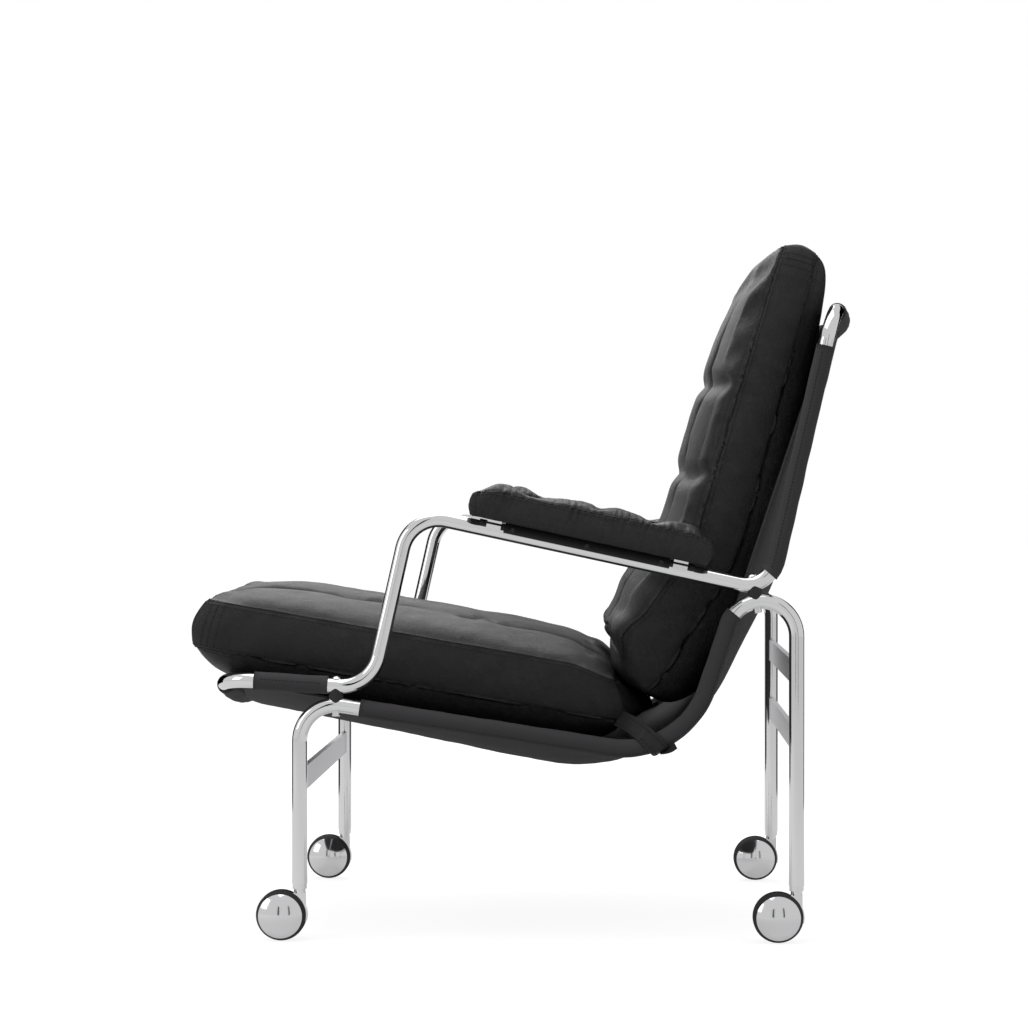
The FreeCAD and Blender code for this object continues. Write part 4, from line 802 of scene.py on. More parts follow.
class CHAIR_OT_frame(bpy.types.Operator):
    """Finish the tubes, rails, bars, bolts and casters"""

    bl_idname = "chair.frame"
    bl_label = "Frame and Casters"

    def execute(self, context):
        tubes = both("arm_tube") + both("leg_tube") + ["front_rail", "top_rail"]
        small = ["crossing_bolts", "crossing_nuts", "channel_screws", "arm_clips"]
        dress(tubes + small, surface("bright_chrome"))
        bars = ["front_crossbar", "rear_crossbar_upper", "rear_crossbar_lower"]
        dress(bars, surface("satin_chrome"))
        dress(["rail_spigots", "pad_screws"], surface("zinc"))
        spacers = both("saddle_spacer_front") + both("saddle_spacer_rear")
        dress(spacers + both("arm_channel"), surface("black_plastic"))
        dress(both("arm_pad_board"), surface("plywood"))
        plated = corners("caster_fork") + corners("caster_domes") + corners("caster_axle")
        dress(plated + ["caster_sockets"], surface("caster_chrome"))
        dress(corners("caster_wheels"), surface("tread"))
        return {"FINISHED"}


# Seat and back cushions

TUFT_COLUMN = 0.110
TUFT_REACH = 0.026
CREASE_REACH = 0.0065
HOLLOW_REACH = 0.034
SEAM_DEPTH = 0.0014
CLEAR = 0.003
PANEL_CAP, UNDERSIDE_CAP, BOXING_CAP = 0.007, 0.0015, 0.0035
EDGE_STEPS = (0.0, 0.0035, 0.009, 0.017, 0.026)
BOXING_ROWS = np.array([0.0, 0.055, 0.14, 0.26, 0.4, 0.55, 0.7, 0.83, 0.93, 1.0])


def carriers():
    """The surfaces of the frame that the cushions rest on, as one tree for rays."""
    names = ["sling_panel", "sling_front_hem", "sling_top_hem", "front_rail", "top_rail"]
    names += both("leg_tube") + both("arm_tube") + both("seat_sleeve") + both("back_sleeve")
    names += both("front_sleeve")
    spots, faces = [], []
    for name in names:
        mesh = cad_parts[name].data
        start = len(spots)
        spots += [tuple(vertex.co) for vertex in mesh.vertices]
        faces += [[start + number for number in polygon.vertices] for polygon in mesh.polygons]
    return BVHTree.FromPolygons(spots, faces)


def drop_to(tree, points, down, most):
    """How far each point lies above what carries it, up to a limit."""
    found = np.full(len(points), most)
    for number, (point, heading) in enumerate(zip(points, down)):
        _, _, _, gap = tree.ray_cast(Vector(point), Vector(heading), most)
        if gap is not None:
            found[number] = gap
    return found


def quick_rise(distance, length, reach):
    """From 0 at both ends of a length to 1 a short way in."""
    near = np.minimum(distance, length - distance)
    return 1 - np.exp(-np.clip(near, 0, None) / reach)


def wandering_creases(distance, side, rows, length):
    """Pairs of creases that part between the tufts and meet at them."""
    marks = [-0.03, *rows, length + 0.03]
    part = np.zeros_like(distance)
    for first, last in zip(marks, marks[1:]):
        inside = (distance >= first) & (distance < last)
        share = (distance - first) / (last - first)
        wide = 0.016 if first == marks[0] or last == marks[-1] else 0.010
        part = np.where(inside, wide * np.sin(math.pi * np.clip(share, 0, 1)) ** 0.7, part)
    total = np.zeros_like(distance)
    for number, column in enumerate((-TUFT_COLUMN, TUFT_COLUMN)):
        sway = 0.003 * np.sin(distance * 31 + number * 2.1)
        for turn, depth in ((-1, 1.2), (1, 1.0), (0.1, 0.7)):
            away = side - column - sway - turn * part
            total += depth * np.exp(-np.abs(away / CREASE_REACH) ** 1.5)
    return np.clip(total, 0, 1.4)


def pillow(share, power, fullness):
    """Height of a stuffed face over its width: steep at the seam and full in the middle."""
    return (1 - np.clip(np.abs(share), 0, 1) ** power) ** fullness


def tuft_pull(distance, side, rows, seed):
    """How much each place of a face is drawn down by the tufts, with folds fanning out."""
    total = np.zeros_like(distance)
    for number, row in enumerate(rows):
        for column in (-TUFT_COLUMN, TUFT_COLUMN):
            away = np.hypot(distance - row, (side - column) * 1.15)
            angle = np.arctan2(distance - row, side - column)
            fan = 1 + 0.30 * np.cos(5 * angle + seed + number * 1.7 + column * 9)
            total += np.exp(-((away / (TUFT_REACH * fan)) ** 1.35))
    return total


def drawn_in(sizes, distance, side, rows, length, seed):
    """How far hollows, creases and tufts draw a face in."""
    hollows = bell(side - TUFT_COLUMN, HOLLOW_REACH) + bell(side + TUFT_COLUMN, HOLLOW_REACH)
    creases = wandering_creases(distance, side, rows, length)
    pull = tuft_pull(distance, side, rows, seed)
    return sizes.crease * (0.6 * hollows + 0.62 * creases) + sizes.tuft * pull


def sew(piece, cushion, seam_depth):
    """Draws both seams in, with a raised lip on either side."""
    spots = positions(piece)
    facing = normals(piece)
    lift = np.zeros(len(spots))
    for band, inner in ((0, 1), (len(cushion.bands) - 1, len(cushion.bands) - 2)):
        lift[cushion.bands[band]] -= seam_depth
        lift[cushion.bands[inner]] += seam_depth * 0.35
    for panel in (cushion.top, cushion.bottom):
        ring = np.concatenate([panel[1, 1:-1], panel[-2, 1:-1], panel[1:-1, 1], panel[1:-1, -2]])
        lift[ring] += seam_depth * 0.35
    put(piece, spots + facing * lift[:, None])


def seam_lines(piece, cushion):
    """The lines of the two seams and of the rows of stitches beside them."""
    bands = cushion.bands
    seams = [track_points(piece, bands[0], True), track_points(piece, bands[-1], True)]
    rows = [track_points(piece, bands[1], True), track_points(piece, bands[-2], True)]
    for panel in (cushion.top, cushion.bottom):
        sides = (panel[1, 1:-1], panel[2:-2, -2], panel[-2, 1:-1][::-1], panel[2:-2, 1][::-1])
        rows.append(track_points(piece, np.concatenate(sides), True))
    return seams, rows


def corner_seams(piece, cushion, columns):
    """Upright seams in the boxing near the corners, each with two rows of stitches."""
    seams, rows = [], []
    count = cushion.bands.shape[1]
    for column in columns:
        seams.append(track_points(piece, cushion.bands[:, column % count], False))
        for step in (-1, 1):
            band = cushion.bands[1:-1, (column + step) % count]
            rows.append(track_points(piece, band, False))
    return seams, rows


def held_weights(cushion, tufts, bottom_hold, boxing_hold):
    """What a simulation holds: seams and tufts firmly, the underside and boxing in part."""
    held = {int(number): bottom_hold for number in cushion.bottom.ravel()}
    held.update({int(number): boxing_hold for number in cushion.bands[1:-1].ravel()})
    seams = list(cushion.bands[0]) + list(cushion.bands[-1])
    held.update({int(number): 1.0 for number in seams + tufts})
    return held


def vertex_caps(cushion, panel, underside, boxing):
    """How far a simulation may move each vertex."""
    cap = np.full(len(cushion.spots), panel)
    cap[cushion.bottom.ravel()] = underside
    cap[cushion.bands[1:-1].ravel()] = boxing
    return cap


def tuft_numbers(cushion, top, along, across, rows, columns):
    """Vertex numbers of the top panel nearest to each tuft."""
    a, b = np.meshgrid(along, across * 2 - 1, indexing="ij")
    distance, side, _ = top(a, b)
    found = []
    for row in rows:
        for column in columns:
            gap = np.hypot(distance - row, side - column)
            i, j = np.unravel_index(np.argmin(gap), gap.shape)
            found.append(int(cushion.top[i, j]))
    return found


def make_cushion(name, sizes, form, rows, seed, sewn_corners, gather):
    """Builds, fills, sews and declares a large cushion. sizes are the panel's length and
    width and the pitch of its mesh, and form the functions that BoxedCushion takes."""
    length, width, pitch = sizes
    top, bottom, swell, place = form
    along = spread(length, EDGE_STEPS, pitch)
    across = spread(width, EDGE_STEPS, 0.0058)
    cushion = BoxedCushion(along, across, BOXING_ROWS, top, bottom, swell, place)
    piece = new_object(name, cushion.spots, cushion.faces, surface("black_leather"))
    tufts = tuft_numbers(cushion, top, along, across, rows, (-TUFT_COLUMN, TUFT_COLUMN))
    held = held_weights(cushion, tufts, 0.85, 0.35)
    cap = vertex_caps(cushion, PANEL_CAP, UNDERSIDE_CAP, BOXING_CAP)
    puff(piece, held, cap, bpy.context.scene.chair_finish.pressure, 0.045)
    sew(piece, cushion, SEAM_DEPTH)
    columns = cushion.corner_columns()
    turn = (3, -3, 3, -3)
    count = cushion.bands.shape[1]
    uprights = [(columns[number] - turn[number]) % count for number in sewn_corners]
    seams, _ = seam_lines(piece, cushion)
    upright_seams, _ = corner_seams(piece, cushion, uprights)
    apply_modifier(piece, "SUBSURF", levels=1)
    pucker(piece, seams + upright_seams, 0.016, 0.013, gather, seed)
    spots = positions(piece)
    waves = ripple(spots, 0.16, seed + 5) * 0.0011 + ripple(spots, 0.05, seed + 6) * 0.0004
    put(piece, spots + normals(piece) * waves[:, None])
    seams, stitched = seam_lines(piece, cushion)
    upright_seams, upright_rows = corner_seams(piece, cushion, uprights)
    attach(piece, "root")
    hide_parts(f"{name}_cover", f"{name}_core")
    stitches(name, piece, stitched + upright_rows)
    # Painted shade: a dark cord in each seam stands in for the shadow in its groove
    painted_seam_shade_cords(name, piece, seams + upright_seams)


class CHAIR_OT_seat(bpy.types.Operator):
    """Make the seat cushion"""

    bl_idname = "chair.seat"
    bl_label = "Seat Cushion"

    TUFT_ROWS = (0.197, 0.370)
    CORNER = 0.022

    def execute(self, context):
        sizes = context.scene.chair_seat
        ahead = np.array([math.cos(sizes.slope), -math.sin(sizes.slope)])
        up = np.array([math.sin(sizes.slope), math.cos(sizes.slope)])
        origin = np.array([sizes.front_y, sizes.front_z])
        tree = carriers()
        length = sizes.top_end - sizes.top_start
        width = 2 * sizes.half_width

        def place(local):
            flat = origin + local[:, :1] * ahead + local[:, 2:] * up
            return np.column_stack([local[:, 1], flat])

        def top(a, b):
            distance, side = corner_drawn(a, b, length, width, self.CORNER)
            share = distance / length
            distance = distance + sizes.top_start
            seam = sizes.side - 0.013 * eased((distance - 0.490) / 0.07)
            full = pillow(2 * share - 1, 5.5, 0.62) * pillow(b, 3.2, 0.52)
            crown = sizes.crown * full
            drawn = drawn_in(sizes, distance, side, self.TUFT_ROWS, 0.584, 0.4)
            inside = np.clip(full * 1.4, 0, 1)
            return distance, side, seam + crown - np.minimum(drawn * inside, crown * 0.92)

        def bottom(a, b):
            span = sizes.bottom_end - sizes.bottom_start
            distance, side = corner_drawn(a, b, span, width, self.CORNER)
            rim = quick_rise(a * span, span, 0.016)
            rim = rim * quick_rise((b + 1) * width / 2, width, 0.014)
            full = pillow(2 * a - 1, 3.0, 0.8) * pillow(b, 2.2, 0.8)
            distance = distance + sizes.bottom_start
            spots = place(np.column_stack([distance.ravel(), side.ravel(), np.zeros(a.size)]))
            down = np.tile([0.0, *-up], (len(spots), 1))
            drop = drop_to(tree, spots, down, 0.12).reshape(a.shape)
            hang = np.minimum(drop - CLEAR, 0.019 * rim + 0.066 * full)
            return distance, side, -np.maximum(hang, 0.0)

        def swell(share, where):
            arch = 4 * share * (1 - share)
            front = bell(where[:, 0], 0.08)
            rear = bell(1 - where[:, 0], 0.02) * (1 - where[:, 1] ** 4)
            lower = 0.19 * share * (1 - share) ** 1.5
            return (0.0055 + 0.0050 * front) * arch + lower * rear

        form = (top, bottom, swell, place)
        measures = (length, width, 0.0075)
        make_cushion("seat_cushion", measures, form, self.TUFT_ROWS, 11, (0, 1), 0.0005)
        return {"FINISHED"}


class CHAIR_OT_back(bpy.types.Operator):
    """Make the back cushion"""

    bl_idname = "chair.back"
    bl_label = "Back Cushion"

    LINE = Route(
        [(0.1600, 0.3130), (0.1830, 0.3310), (0.2746, 0.4833), (0.3830, 0.9000)], [0.130, 0.450]
    )
    TUFTS_FROM_TOP = (0.195, 0.320, 0.445)
    CORNER = 0.030
    # How far the lower end stands out from the line, and how much the edge there is raised.
    FOOT = 0.009
    LIP = 0.031

    def execute(self, context):
        sizes = context.scene.chair_back
        line = self.LINE
        total = line.total
        tree = carriers()
        rows = tuple(total - from_top for from_top in self.TUFTS_FROM_TOP)
        length = total - sizes.front_start
        width = 2 * sizes.half_width

        def place(local):
            base, heading = line.at(local[:, 0])
            out = np.stack([-heading[:, 1], heading[:, 0]], axis=-1)
            foot = self.FOOT * (1 - eased((local[:, :1] - 0.10) / 0.15))
            flat = base + out * (local[:, 2:] + foot)
            return np.column_stack([local[:, 1], flat])

        def top(a, b):
            distance, side = corner_drawn(a, b, length, width, self.CORNER)
            share = distance / length
            distance = distance + sizes.front_start
            taper = (sizes.side_head - sizes.side_foot) * (distance / total) ** 2
            seam = sizes.side_foot + taper
            seam = seam + 0.012 * bell(distance - 0.060, 0.026) - 0.014 * np.exp(-distance / 0.016)
            seam = seam + self.LIP * np.exp(-distance / 0.028) * (1 - b**4)
            foot = (1 - np.exp(-share * length / 0.007)) ** 0.7
            foot = foot * (0.55 + 0.45 * eased((distance - 0.045) / 0.075))
            ends = np.where(share < 0.5, foot, pillow(2 * share - 1, 4.6, 0.7))
            full = ends * pillow(b, 3.2, 0.52)
            crown = sizes.crown * full
            folds = [bell(distance - row - 0.004 * np.sin(side * 25), 0.013) for row in rows]
            drawn = drawn_in(sizes, distance, side, rows, total, 1.3) + 0.0085 * sum(folds)
            inside = np.clip(full * 1.4, 0, 1)
            return distance, side, seam + crown - np.minimum(drawn * inside, crown * 0.9)

        def bottom(a, b):
            distance, side = corner_drawn(a, b, total, width, self.CORNER)
            rim = quick_rise(a * total, total, 0.012)
            rim = rim * quick_rise((b + 1) * width / 2, width, 0.012)
            full = pillow(2 * a - 1, 3.0, 0.8) * pillow(b, 2.2, 0.8)
            _, heading = line.at(distance.ravel())
            down = np.column_stack([np.zeros(a.size), heading[:, 1], -heading[:, 0]])
            spots = place(np.column_stack([distance.ravel(), side.ravel(), np.zeros(a.size)]))
            drop = drop_to(tree, spots, down, 0.12).reshape(a.shape)
            most = (0.021 + 0.016 * (1 - a)) * rim + (0.008 + 0.055 * (1 - a)) * full
            return distance, side, -np.maximum(np.minimum(drop - CLEAR, most), 0.0)

        def swell(share, where):
            arch = 4 * share * (1 - share)
            head = bell(1 - where[:, 0], 0.06)
            foot = bell(where[:, 0], 0.02) * (1 - where[:, 1] ** 4)
            return (0.005 + 0.002 * head + 0.016 * foot) * arch

        form = (top, bottom, swell, place)
        make_cushion("back_cushion", (length, width, 0.0070), form, rows, 23, (2, 3), 0.0005)
        return {"FINISHED"}


class CHAIR_OT_arms(bpy.types.Operator):
    """Make the two arm pads"""

    bl_idname = "chair.arms"
    bl_label = "Arm Pads"

    CORNER = 0.012
    CHANNEL = 0.004
    EDGE_STEPS = (0.0, 0.003, 0.007, 0.012)
    PITCH = 0.0055

    def execute(self, context):
        sizes = context.scene.chair_arm
        ahead = np.array(ARM_REAR) - np.array(RISER_TOP)
        ahead /= np.linalg.norm(ahead)
        up = np.array([-ahead[1], ahead[0]])
        floor = TUBE + self.CHANNEL + 0.0003
        origin = np.array(RISER_TOP) + ahead * (sizes.middle - sizes.length / 2) + up * floor
        length, width = sizes.length, 2 * sizes.half_width
        pulls = [length / 2 + step * sizes.pull_pitch for step in (-1, 0, 1)]

        def top(a, b):
            distance, side = corner_drawn(a, b, length, width, self.CORNER)
            full = pillow(2 * a - 1, 7.0, 0.6) * pillow(b, 2.6, 0.6)
            away = [np.hypot(distance - at, side * 0.55) / 0.012 for at in pulls]
            pull = sum(np.exp(-(gap**1.4)) for gap in away)
            rounded_end = 0.006 * (1 - eased(np.minimum(a, 1 - a) * length / 0.03))
            height = sizes.side - rounded_end + sizes.crown * full
            return distance, side, height - 0.006 * pull * np.clip(full * 1.5, 0, 1)

        def bottom(a, b):
            distance, side = corner_drawn(a, b, length - 0.004, width - 0.004, self.CORNER)
            return distance + 0.002, side, 0.0003 + 0 * side

        def swell(share, where):
            return (0.0035 * 4 * share * (1 - share)) * np.ones(len(where))

        along = spread(length, self.EDGE_STEPS, self.PITCH)
        across = spread(width, self.EDGE_STEPS, self.PITCH)
        for side_name, sign in SIDES:

            def place(local):
                flat = origin + local[:, :1] * ahead + local[:, 2:] * up
                return np.column_stack([local[:, 1] + sign * TRACK, flat])

            cushion = BoxedCushion(along, across, BOXING_ROWS, top, bottom, swell, place)
            name = f"arm_pad_{side_name}"
            piece = new_object(name, cushion.spots, cushion.faces, surface("black_leather"))
            tufts = tuft_numbers(cushion, top, along, across, pulls, (0.0,))
            held = held_weights(cushion, tufts, 0.95, 0.3)
            cap = vertex_caps(cushion, 0.0035, 0.0004, 0.002)
            puff(piece, held, cap, context.scene.chair_finish.pressure, 0.05)
            sew(piece, cushion, 0.0012)
            seams, rows = seam_lines(piece, cushion)
            apply_modifier(piece, "SUBSURF", levels=1)
            pucker(piece, seams, 0.012, 0.018, 0.0013, 31 + int(sign))
            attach(piece, "root")
            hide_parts(f"arm_pad_cover_{side_name}", f"arm_pad_core_{side_name}")
            stitches(name, piece, [rows[1], rows[2]])
        return {"FINISHED"}


# Sling


def lay_uv(piece, index, across, along, closed_columns=False):
    """Lays the cloth's width and length, in metres, over a table of vertices."""
    layer = piece.data.uv_layers.new(name="cloth")
    flat = {}
    for i, row in enumerate(index):
        for j, number in enumerate(row):
            flat[int(number)] = (across[j], along[i])
    seam = across[-1] * 0.5
    for polygon in piece.data.polygons:
        spots = [flat.get(vertex, (0.0, 0.0)) for vertex in polygon.vertices]
        wraps = closed_columns and max(s[0] for s in spots) - min(s[0] for s in spots) > seam
        for loop, spot in zip(polygon.loop_indices, spots):
            u = spot[0] + (2 * seam if wraps and spot[0] < seam else 0.0)
            layer.data[loop].uv = (u, spot[1])


EDGE_LINE = Route(
    [
        FRONT_CORNER,
        SEAT_CORNER,
        (
            SEAT_CORNER[0] + 0.210 * math.cos(LOWER_BACK_RISE),
            SEAT_CORNER[1] + 0.210 * math.sin(LOWER_BACK_RISE),
        ),
        TOP_CORNER,
    ],
    [0.115, 0.300],
)
UPRIGHT = (np.array(TOP_CORNER) - np.array(ARM_REAR)) / np.linalg.norm(
    np.array(TOP_CORNER) - np.array(ARM_REAR)
)
BEHIND = np.array([UPRIGHT[1], -UPRIGHT[0]])
FRONT_BOW = 0.038
TOP_BOW = 0.028
MIDDLE_LINE = Route(
    [
        (FRONT_CORNER[0], FRONT_CORNER[1] - FRONT_BOW - 0.006),
        (0.1858, 0.1780),
        (0.3330, 0.4560),
        tuple(np.array(TOP_CORNER) + BEHIND * TOP_BOW),
    ],
    [0.240, 0.300],
)
RAIL_BEND = 0.047


def panel_half_width(margin):
    inner = RAIL_BEND - SLEEVE_OUT - 0.0003
    full = TRACK - SLEEVE_OUT - 0.0003
    if margin >= RAIL_BEND:
        return full
    return TRACK - RAIL_BEND + math.sqrt(max(inner**2 - (RAIL_BEND - margin) ** 2, 0.0))


def arc_between(edge, middle, half, shares):
    """Points of a circular arc from one edge over the middle to the other."""
    sag = middle - edge
    depth = float(np.linalg.norm(sag))
    down = sag / depth
    radius = (half * half + depth * depth) / (2 * depth)
    sweep = math.asin(min(1.0, half / radius))
    angles = sweep * shares
    sides = radius * np.sin(angles)
    drop = radius * np.cos(angles) - (radius - depth)
    flat = edge + down * drop[:, None]
    return np.column_stack([sides, flat]), down


def sling_panel():
    rim = SLEEVE_OUT + 0.0003
    total = EDGE_LINE.total
    near = [rim + (RAIL_BEND - rim) * share for share in (0.0, 0.15, 0.35, 0.6, 1.0)]
    inner = np.linspace(RAIL_BEND, total - RAIL_BEND, 110)[1:-1]
    margins = near + list(inner) + [total - step for step in reversed(near)]
    shares = np.linspace(-1, 1, 61)
    sheets = []
    for margin in margins:
        share = margin / total
        edge, _ = EDGE_LINE.at(share * total)
        middle, _ = MIDDLE_LINE.at(share * MIDDLE_LINE.total)
        half = panel_half_width(min(margin, total - margin))
        row, down = arc_between(edge, middle, half, shares)
        sheets.append((row, np.array([0.0, *down])))
    upper = np.array([row for row, _ in sheets])
    out = np.array([down for _, down in sheets])[:, None, :]
    spots = upper.reshape(-1, 3)
    from_edge = np.repeat((1 - np.abs(shares))[None, :], len(margins), axis=0).ravel()
    loose = 0.0010 * ripple(spots, 0.11, 3) + 0.0006 * ripple(spots, 0.04, 4)
    loose += 0.0012 * ripple(spots[:, 1:], 0.05, 5) * bell(from_edge, 0.10)
    loose = loose * eased(from_edge / 0.03)
    drop = np.repeat(out, len(shares), axis=1).reshape(-1, 3)
    under = spots + drop * (0.0028 + 0.7 * loose[:, None])
    spots = spots + drop * (0.0004 + 0.7 * loose[:, None])
    index = np.arange(len(spots)).reshape(len(margins), len(shares))
    lower = index + len(spots)
    faces = grid_faces(index) + grid_faces(lower, flip=True)
    sides = (index[0], index[1:, -1], index[-1, :-1][::-1], index[1:-1, 0][::-1])
    rim_line = np.concatenate(sides)
    pair = np.array([rim_line, rim_line + len(spots)])
    faces += grid_faces(pair, closed_columns=True)
    piece = new_object("sling", np.vstack([spots, under]), faces, surface("canvas"))
    across = shares * 0.31
    whole = np.vstack([index, lower])
    lay_uv(piece, whole, across + 0.4, margins + margins)
    return piece


SLEEVE_SIDES = 28
TIP_REACH = 0.021


def ring_sleeve(name, centres, headings, towards, seed):
    """A canvas sleeve round a tube, drawn together towards the panel that it is sewn to."""
    inner = SLEEVE_IN + 0.00005
    tangent = math.acos(SLEEVE_OUT / TIP_REACH)
    vertices = []
    along = np.concatenate([[0.0], np.cumsum(np.linalg.norm(np.diff(centres, axis=0), axis=1))])
    length = along[-1]
    angles = np.linspace(0, 2 * math.pi, SLEEVE_SIDES, endpoint=False)
    for outside in (True, False):
        for centre, heading, ahead, passed in zip(centres, headings, towards, along):
            sideways = np.cross(heading, ahead)
            sideways /= np.linalg.norm(sideways)
            from_end = min(passed, length - passed)
            for angle in angles:
                turn = (angle + math.pi) % (2 * math.pi) - math.pi
                radius = SLEEVE_OUT if outside else inner
                if outside and abs(turn) < tangent:
                    tip = min(SLEEVE_OUT / math.cos(abs(turn) - tangent), TIP_REACH)
                    radius += (tip - SLEEVE_OUT) * min(1.0, 0.35 + from_end / 0.02)
                if outside:
                    where = np.array([[passed, angle * 0.02, seed * 0.1]])
                    radius += 0.00035 * ripple(where, 0.05, seed)[0]
                    radius += 0.0005 * bell(from_end - 0.004, 0.004)
                spoke = ahead * math.cos(angle) + sideways * math.sin(angle)
                vertices.append(centre + spoke * radius)
    steps = len(centres)
    outer = np.arange(steps * SLEEVE_SIDES).reshape(steps, SLEEVE_SIDES)
    inside = outer + steps * SLEEVE_SIDES
    faces = grid_faces(outer, closed_columns=True, flip=True)
    faces += grid_faces(inside, closed_columns=True)
    for end, flip in ((0, True), (-1, False)):
        pair = np.array([outer[end], inside[end]])
        faces += grid_faces(pair, closed_columns=True, flip=flip)
    piece = new_object(name, vertices, faces, surface("canvas"))
    table = np.vstack([outer, inside])
    lay_uv(piece, table, angles * SLEEVE_OUT, list(along) * 2, closed_columns=True)
    return piece


def side_sleeve(name, route, start, stop, sign, tip_turn, seed):
    """A sleeve round a side tube, with the panel sagging below or behind the tube."""
    count = max(8, int((stop - start) / 0.008))
    flat, heading = route.at(np.linspace(start, stop, count))
    centres = np.column_stack([np.full(count, sign * TRACK), flat])
    headings = np.column_stack([np.zeros(count), heading])
    inward = np.tile([-sign, 0.0, 0.0], (count, 1))
    down = np.column_stack([np.zeros(count), heading[:, 1], -heading[:, 0]])
    towards = inward * math.cos(tip_turn) + down * math.sin(tip_turn)
    return ring_sleeve(name, centres, headings, towards, seed), centres, down


def rail_hem(name, corner, bow, towards_panel, seed):
    """Canvas round the bowed stretch of a rail."""
    straight = TRACK - RAIL_BEND
    apex = np.array([0.0, *corner]) + np.array([0.0, *bow]) * (TRACK / (TRACK - straight / 2))
    ends = [np.array([side * TRACK, *corner]) for side in (-1, 1)]
    turn = math.atan2(np.linalg.norm(apex[1:] - np.array(corner)), TRACK)
    radius = 0.96 * straight / math.cos(turn) / math.tan(turn)
    setback = radius * math.tan(turn)
    run = np.linalg.norm(apex - ends[0])
    ahead = (apex - ends[0]) / run
    onward = (ends[1] - apex) / run
    steps = np.linspace(RAIL_BEND + 0.005, run - setback, 4)[:-1]
    normal = np.array([0.0, *bow]) / np.linalg.norm(bow)
    centre = apex - normal * radius / math.cos(turn)
    middle = ends[0] + ahead * (run - setback) - centre
    centre_line = [ends[0] + ahead * step for step in steps]
    for share in np.linspace(0, 1, 60):
        angle = 2 * turn * share
        centre_line.append(centre + middle * math.cos(angle) + ahead * radius * math.sin(angle))
    centre_line += [ends[1] - onward * step for step in steps[::-1]]
    centres = np.array(centre_line)
    headings = np.gradient(centres, axis=0)
    headings /= np.linalg.norm(headings, axis=1, keepdims=True)
    towards = np.tile([0.0, *towards_panel], (len(centres), 1))
    return ring_sleeve(name, centres, headings, towards, seed)


class CHAIR_OT_sling(bpy.types.Operator):
    """Make the canvas sling with its sleeves and hems"""

    bl_idname = "chair.sling"
    bl_label = "Canvas Sling"

    def execute(self, context):
        panel = sling_panel()
        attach(panel, "root")
        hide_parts("sling_panel")
        front = Route([FRONT_CORNER, (-0.2480, 0.3324)], [])
        leg = Route(
            [(-0.296, 0.074), KNEE, SEAT_CORNER, HAIRPIN, (REAR_LEG_Y, 0.074)],
            [0.0475, 0.115, 0.0455],
        )
        back = Route([RISER_TOP, ARM_REAR, TOP_CORNER], [0.040])
        seat_ends = leg.reach((-0.217, 0.3035)), leg.reach((0.2776, 0.4225))
        back_start = back.reach((0.3160, 0.4800))
        # Stretch, route, its start and stop, turn of the tip to the panel, lean of the stitches
        runs = (
            ("front", front, 0.044, front.total - 0.011, 20, -0.25),
            ("seat", leg, *seat_ends, 28, 0.62),
            ("back", back, back_start, back.total - 0.050, 12, -0.25),
        )
        made = []
        for side_name, sign in SIDES:
            outward = np.array([sign, 0.0, 0.0])
            for number, (stretch, route, start, stop, tip, lean) in enumerate(runs):
                name = f"{stretch}_sleeve_{side_name}"
                tip_turn = math.radians(tip)
                piece, centres, down = side_sleeve(
                    name, route, start, stop, sign, tip_turn, 40 + number
                )
                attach(piece, "root")
                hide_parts(name)
                row = centres + (outward * math.sqrt(1 - lean**2) + down * lean) * SLEEVE_OUT
                made += [piece, stitches(name, piece, [row[1:-1]])]
        rails = (
            ("sling_front_hem", FRONT_CORNER, (0.0, -FRONT_BOW), (0.97, -0.2), 51),
            ("sling_top_hem", TOP_CORNER, tuple(BEHIND * TOP_BOW), tuple(-UPRIGHT), 52),
        )
        for node, corner, bow, towards, seed in rails:
            piece = rail_hem(node + "_cloth", corner, bow, towards, seed)
            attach(piece, "root")
            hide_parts(node)
            made.append(piece)
        return {"FINISHED"}


# Straps

# A band's section, in halves of its width and thickness, with a raised edge
BAND_SECTION = (
    (-1.0, -0.5),
    (-1.0, 0.5),
    (-0.94, 1.0),
    (-0.8, 1.1),
    (-0.6, 0.94),
    (0.0, 1.0),
    (0.6, 0.94),
    (0.8, 1.1),
    (0.94, 1.0),
    (1.0, 0.5),
    (1.0, -0.5),
    (0.94, -1.0),
    (0.0, -1.0),
    (-0.94, -1.0),
)

# From the cushion's rear corner over the tube's outer side and under it: x out from the
# tube's plane, y, z, and where the band's width points in y and z
STRAP_LINE = (
    (-0.040, 0.122, 0.288, 0.66, 0.75),
    (-0.024, 0.131, 0.284, 0.68, 0.73),
    (-0.006, 0.142, 0.279, 0.70, 0.71),
    (0.0060, 0.152, 0.272, 0.74, 0.67),
    (0.0130, 0.160, 0.2655, 0.80, 0.60),
    (0.0148, 0.167, 0.2585, 0.86, 0.52),
    (0.0120, 0.1735, 0.2510, 0.885, 0.465),
    (0.0024, 0.1770, 0.2480, 0.885, 0.465),
    (-0.0080, 0.1765, 0.2500, 0.885, 0.465),
    (-0.0140, 0.1720, 0.2580, 0.885, 0.465),
    (-0.0150, 0.1680, 0.2670, 0.885, 0.465),
)
STRAP_TAIL = (
    (0.0040, 0.1770, 0.2482, 0.885, 0.465),
    (0.0080, 0.1830, 0.2495, 0.80, 0.60),
    (0.0110, 0.1890, 0.2525, 0.60, 0.80),
    (0.0130, 0.1945, 0.2570, 0.50, 0.86),
)


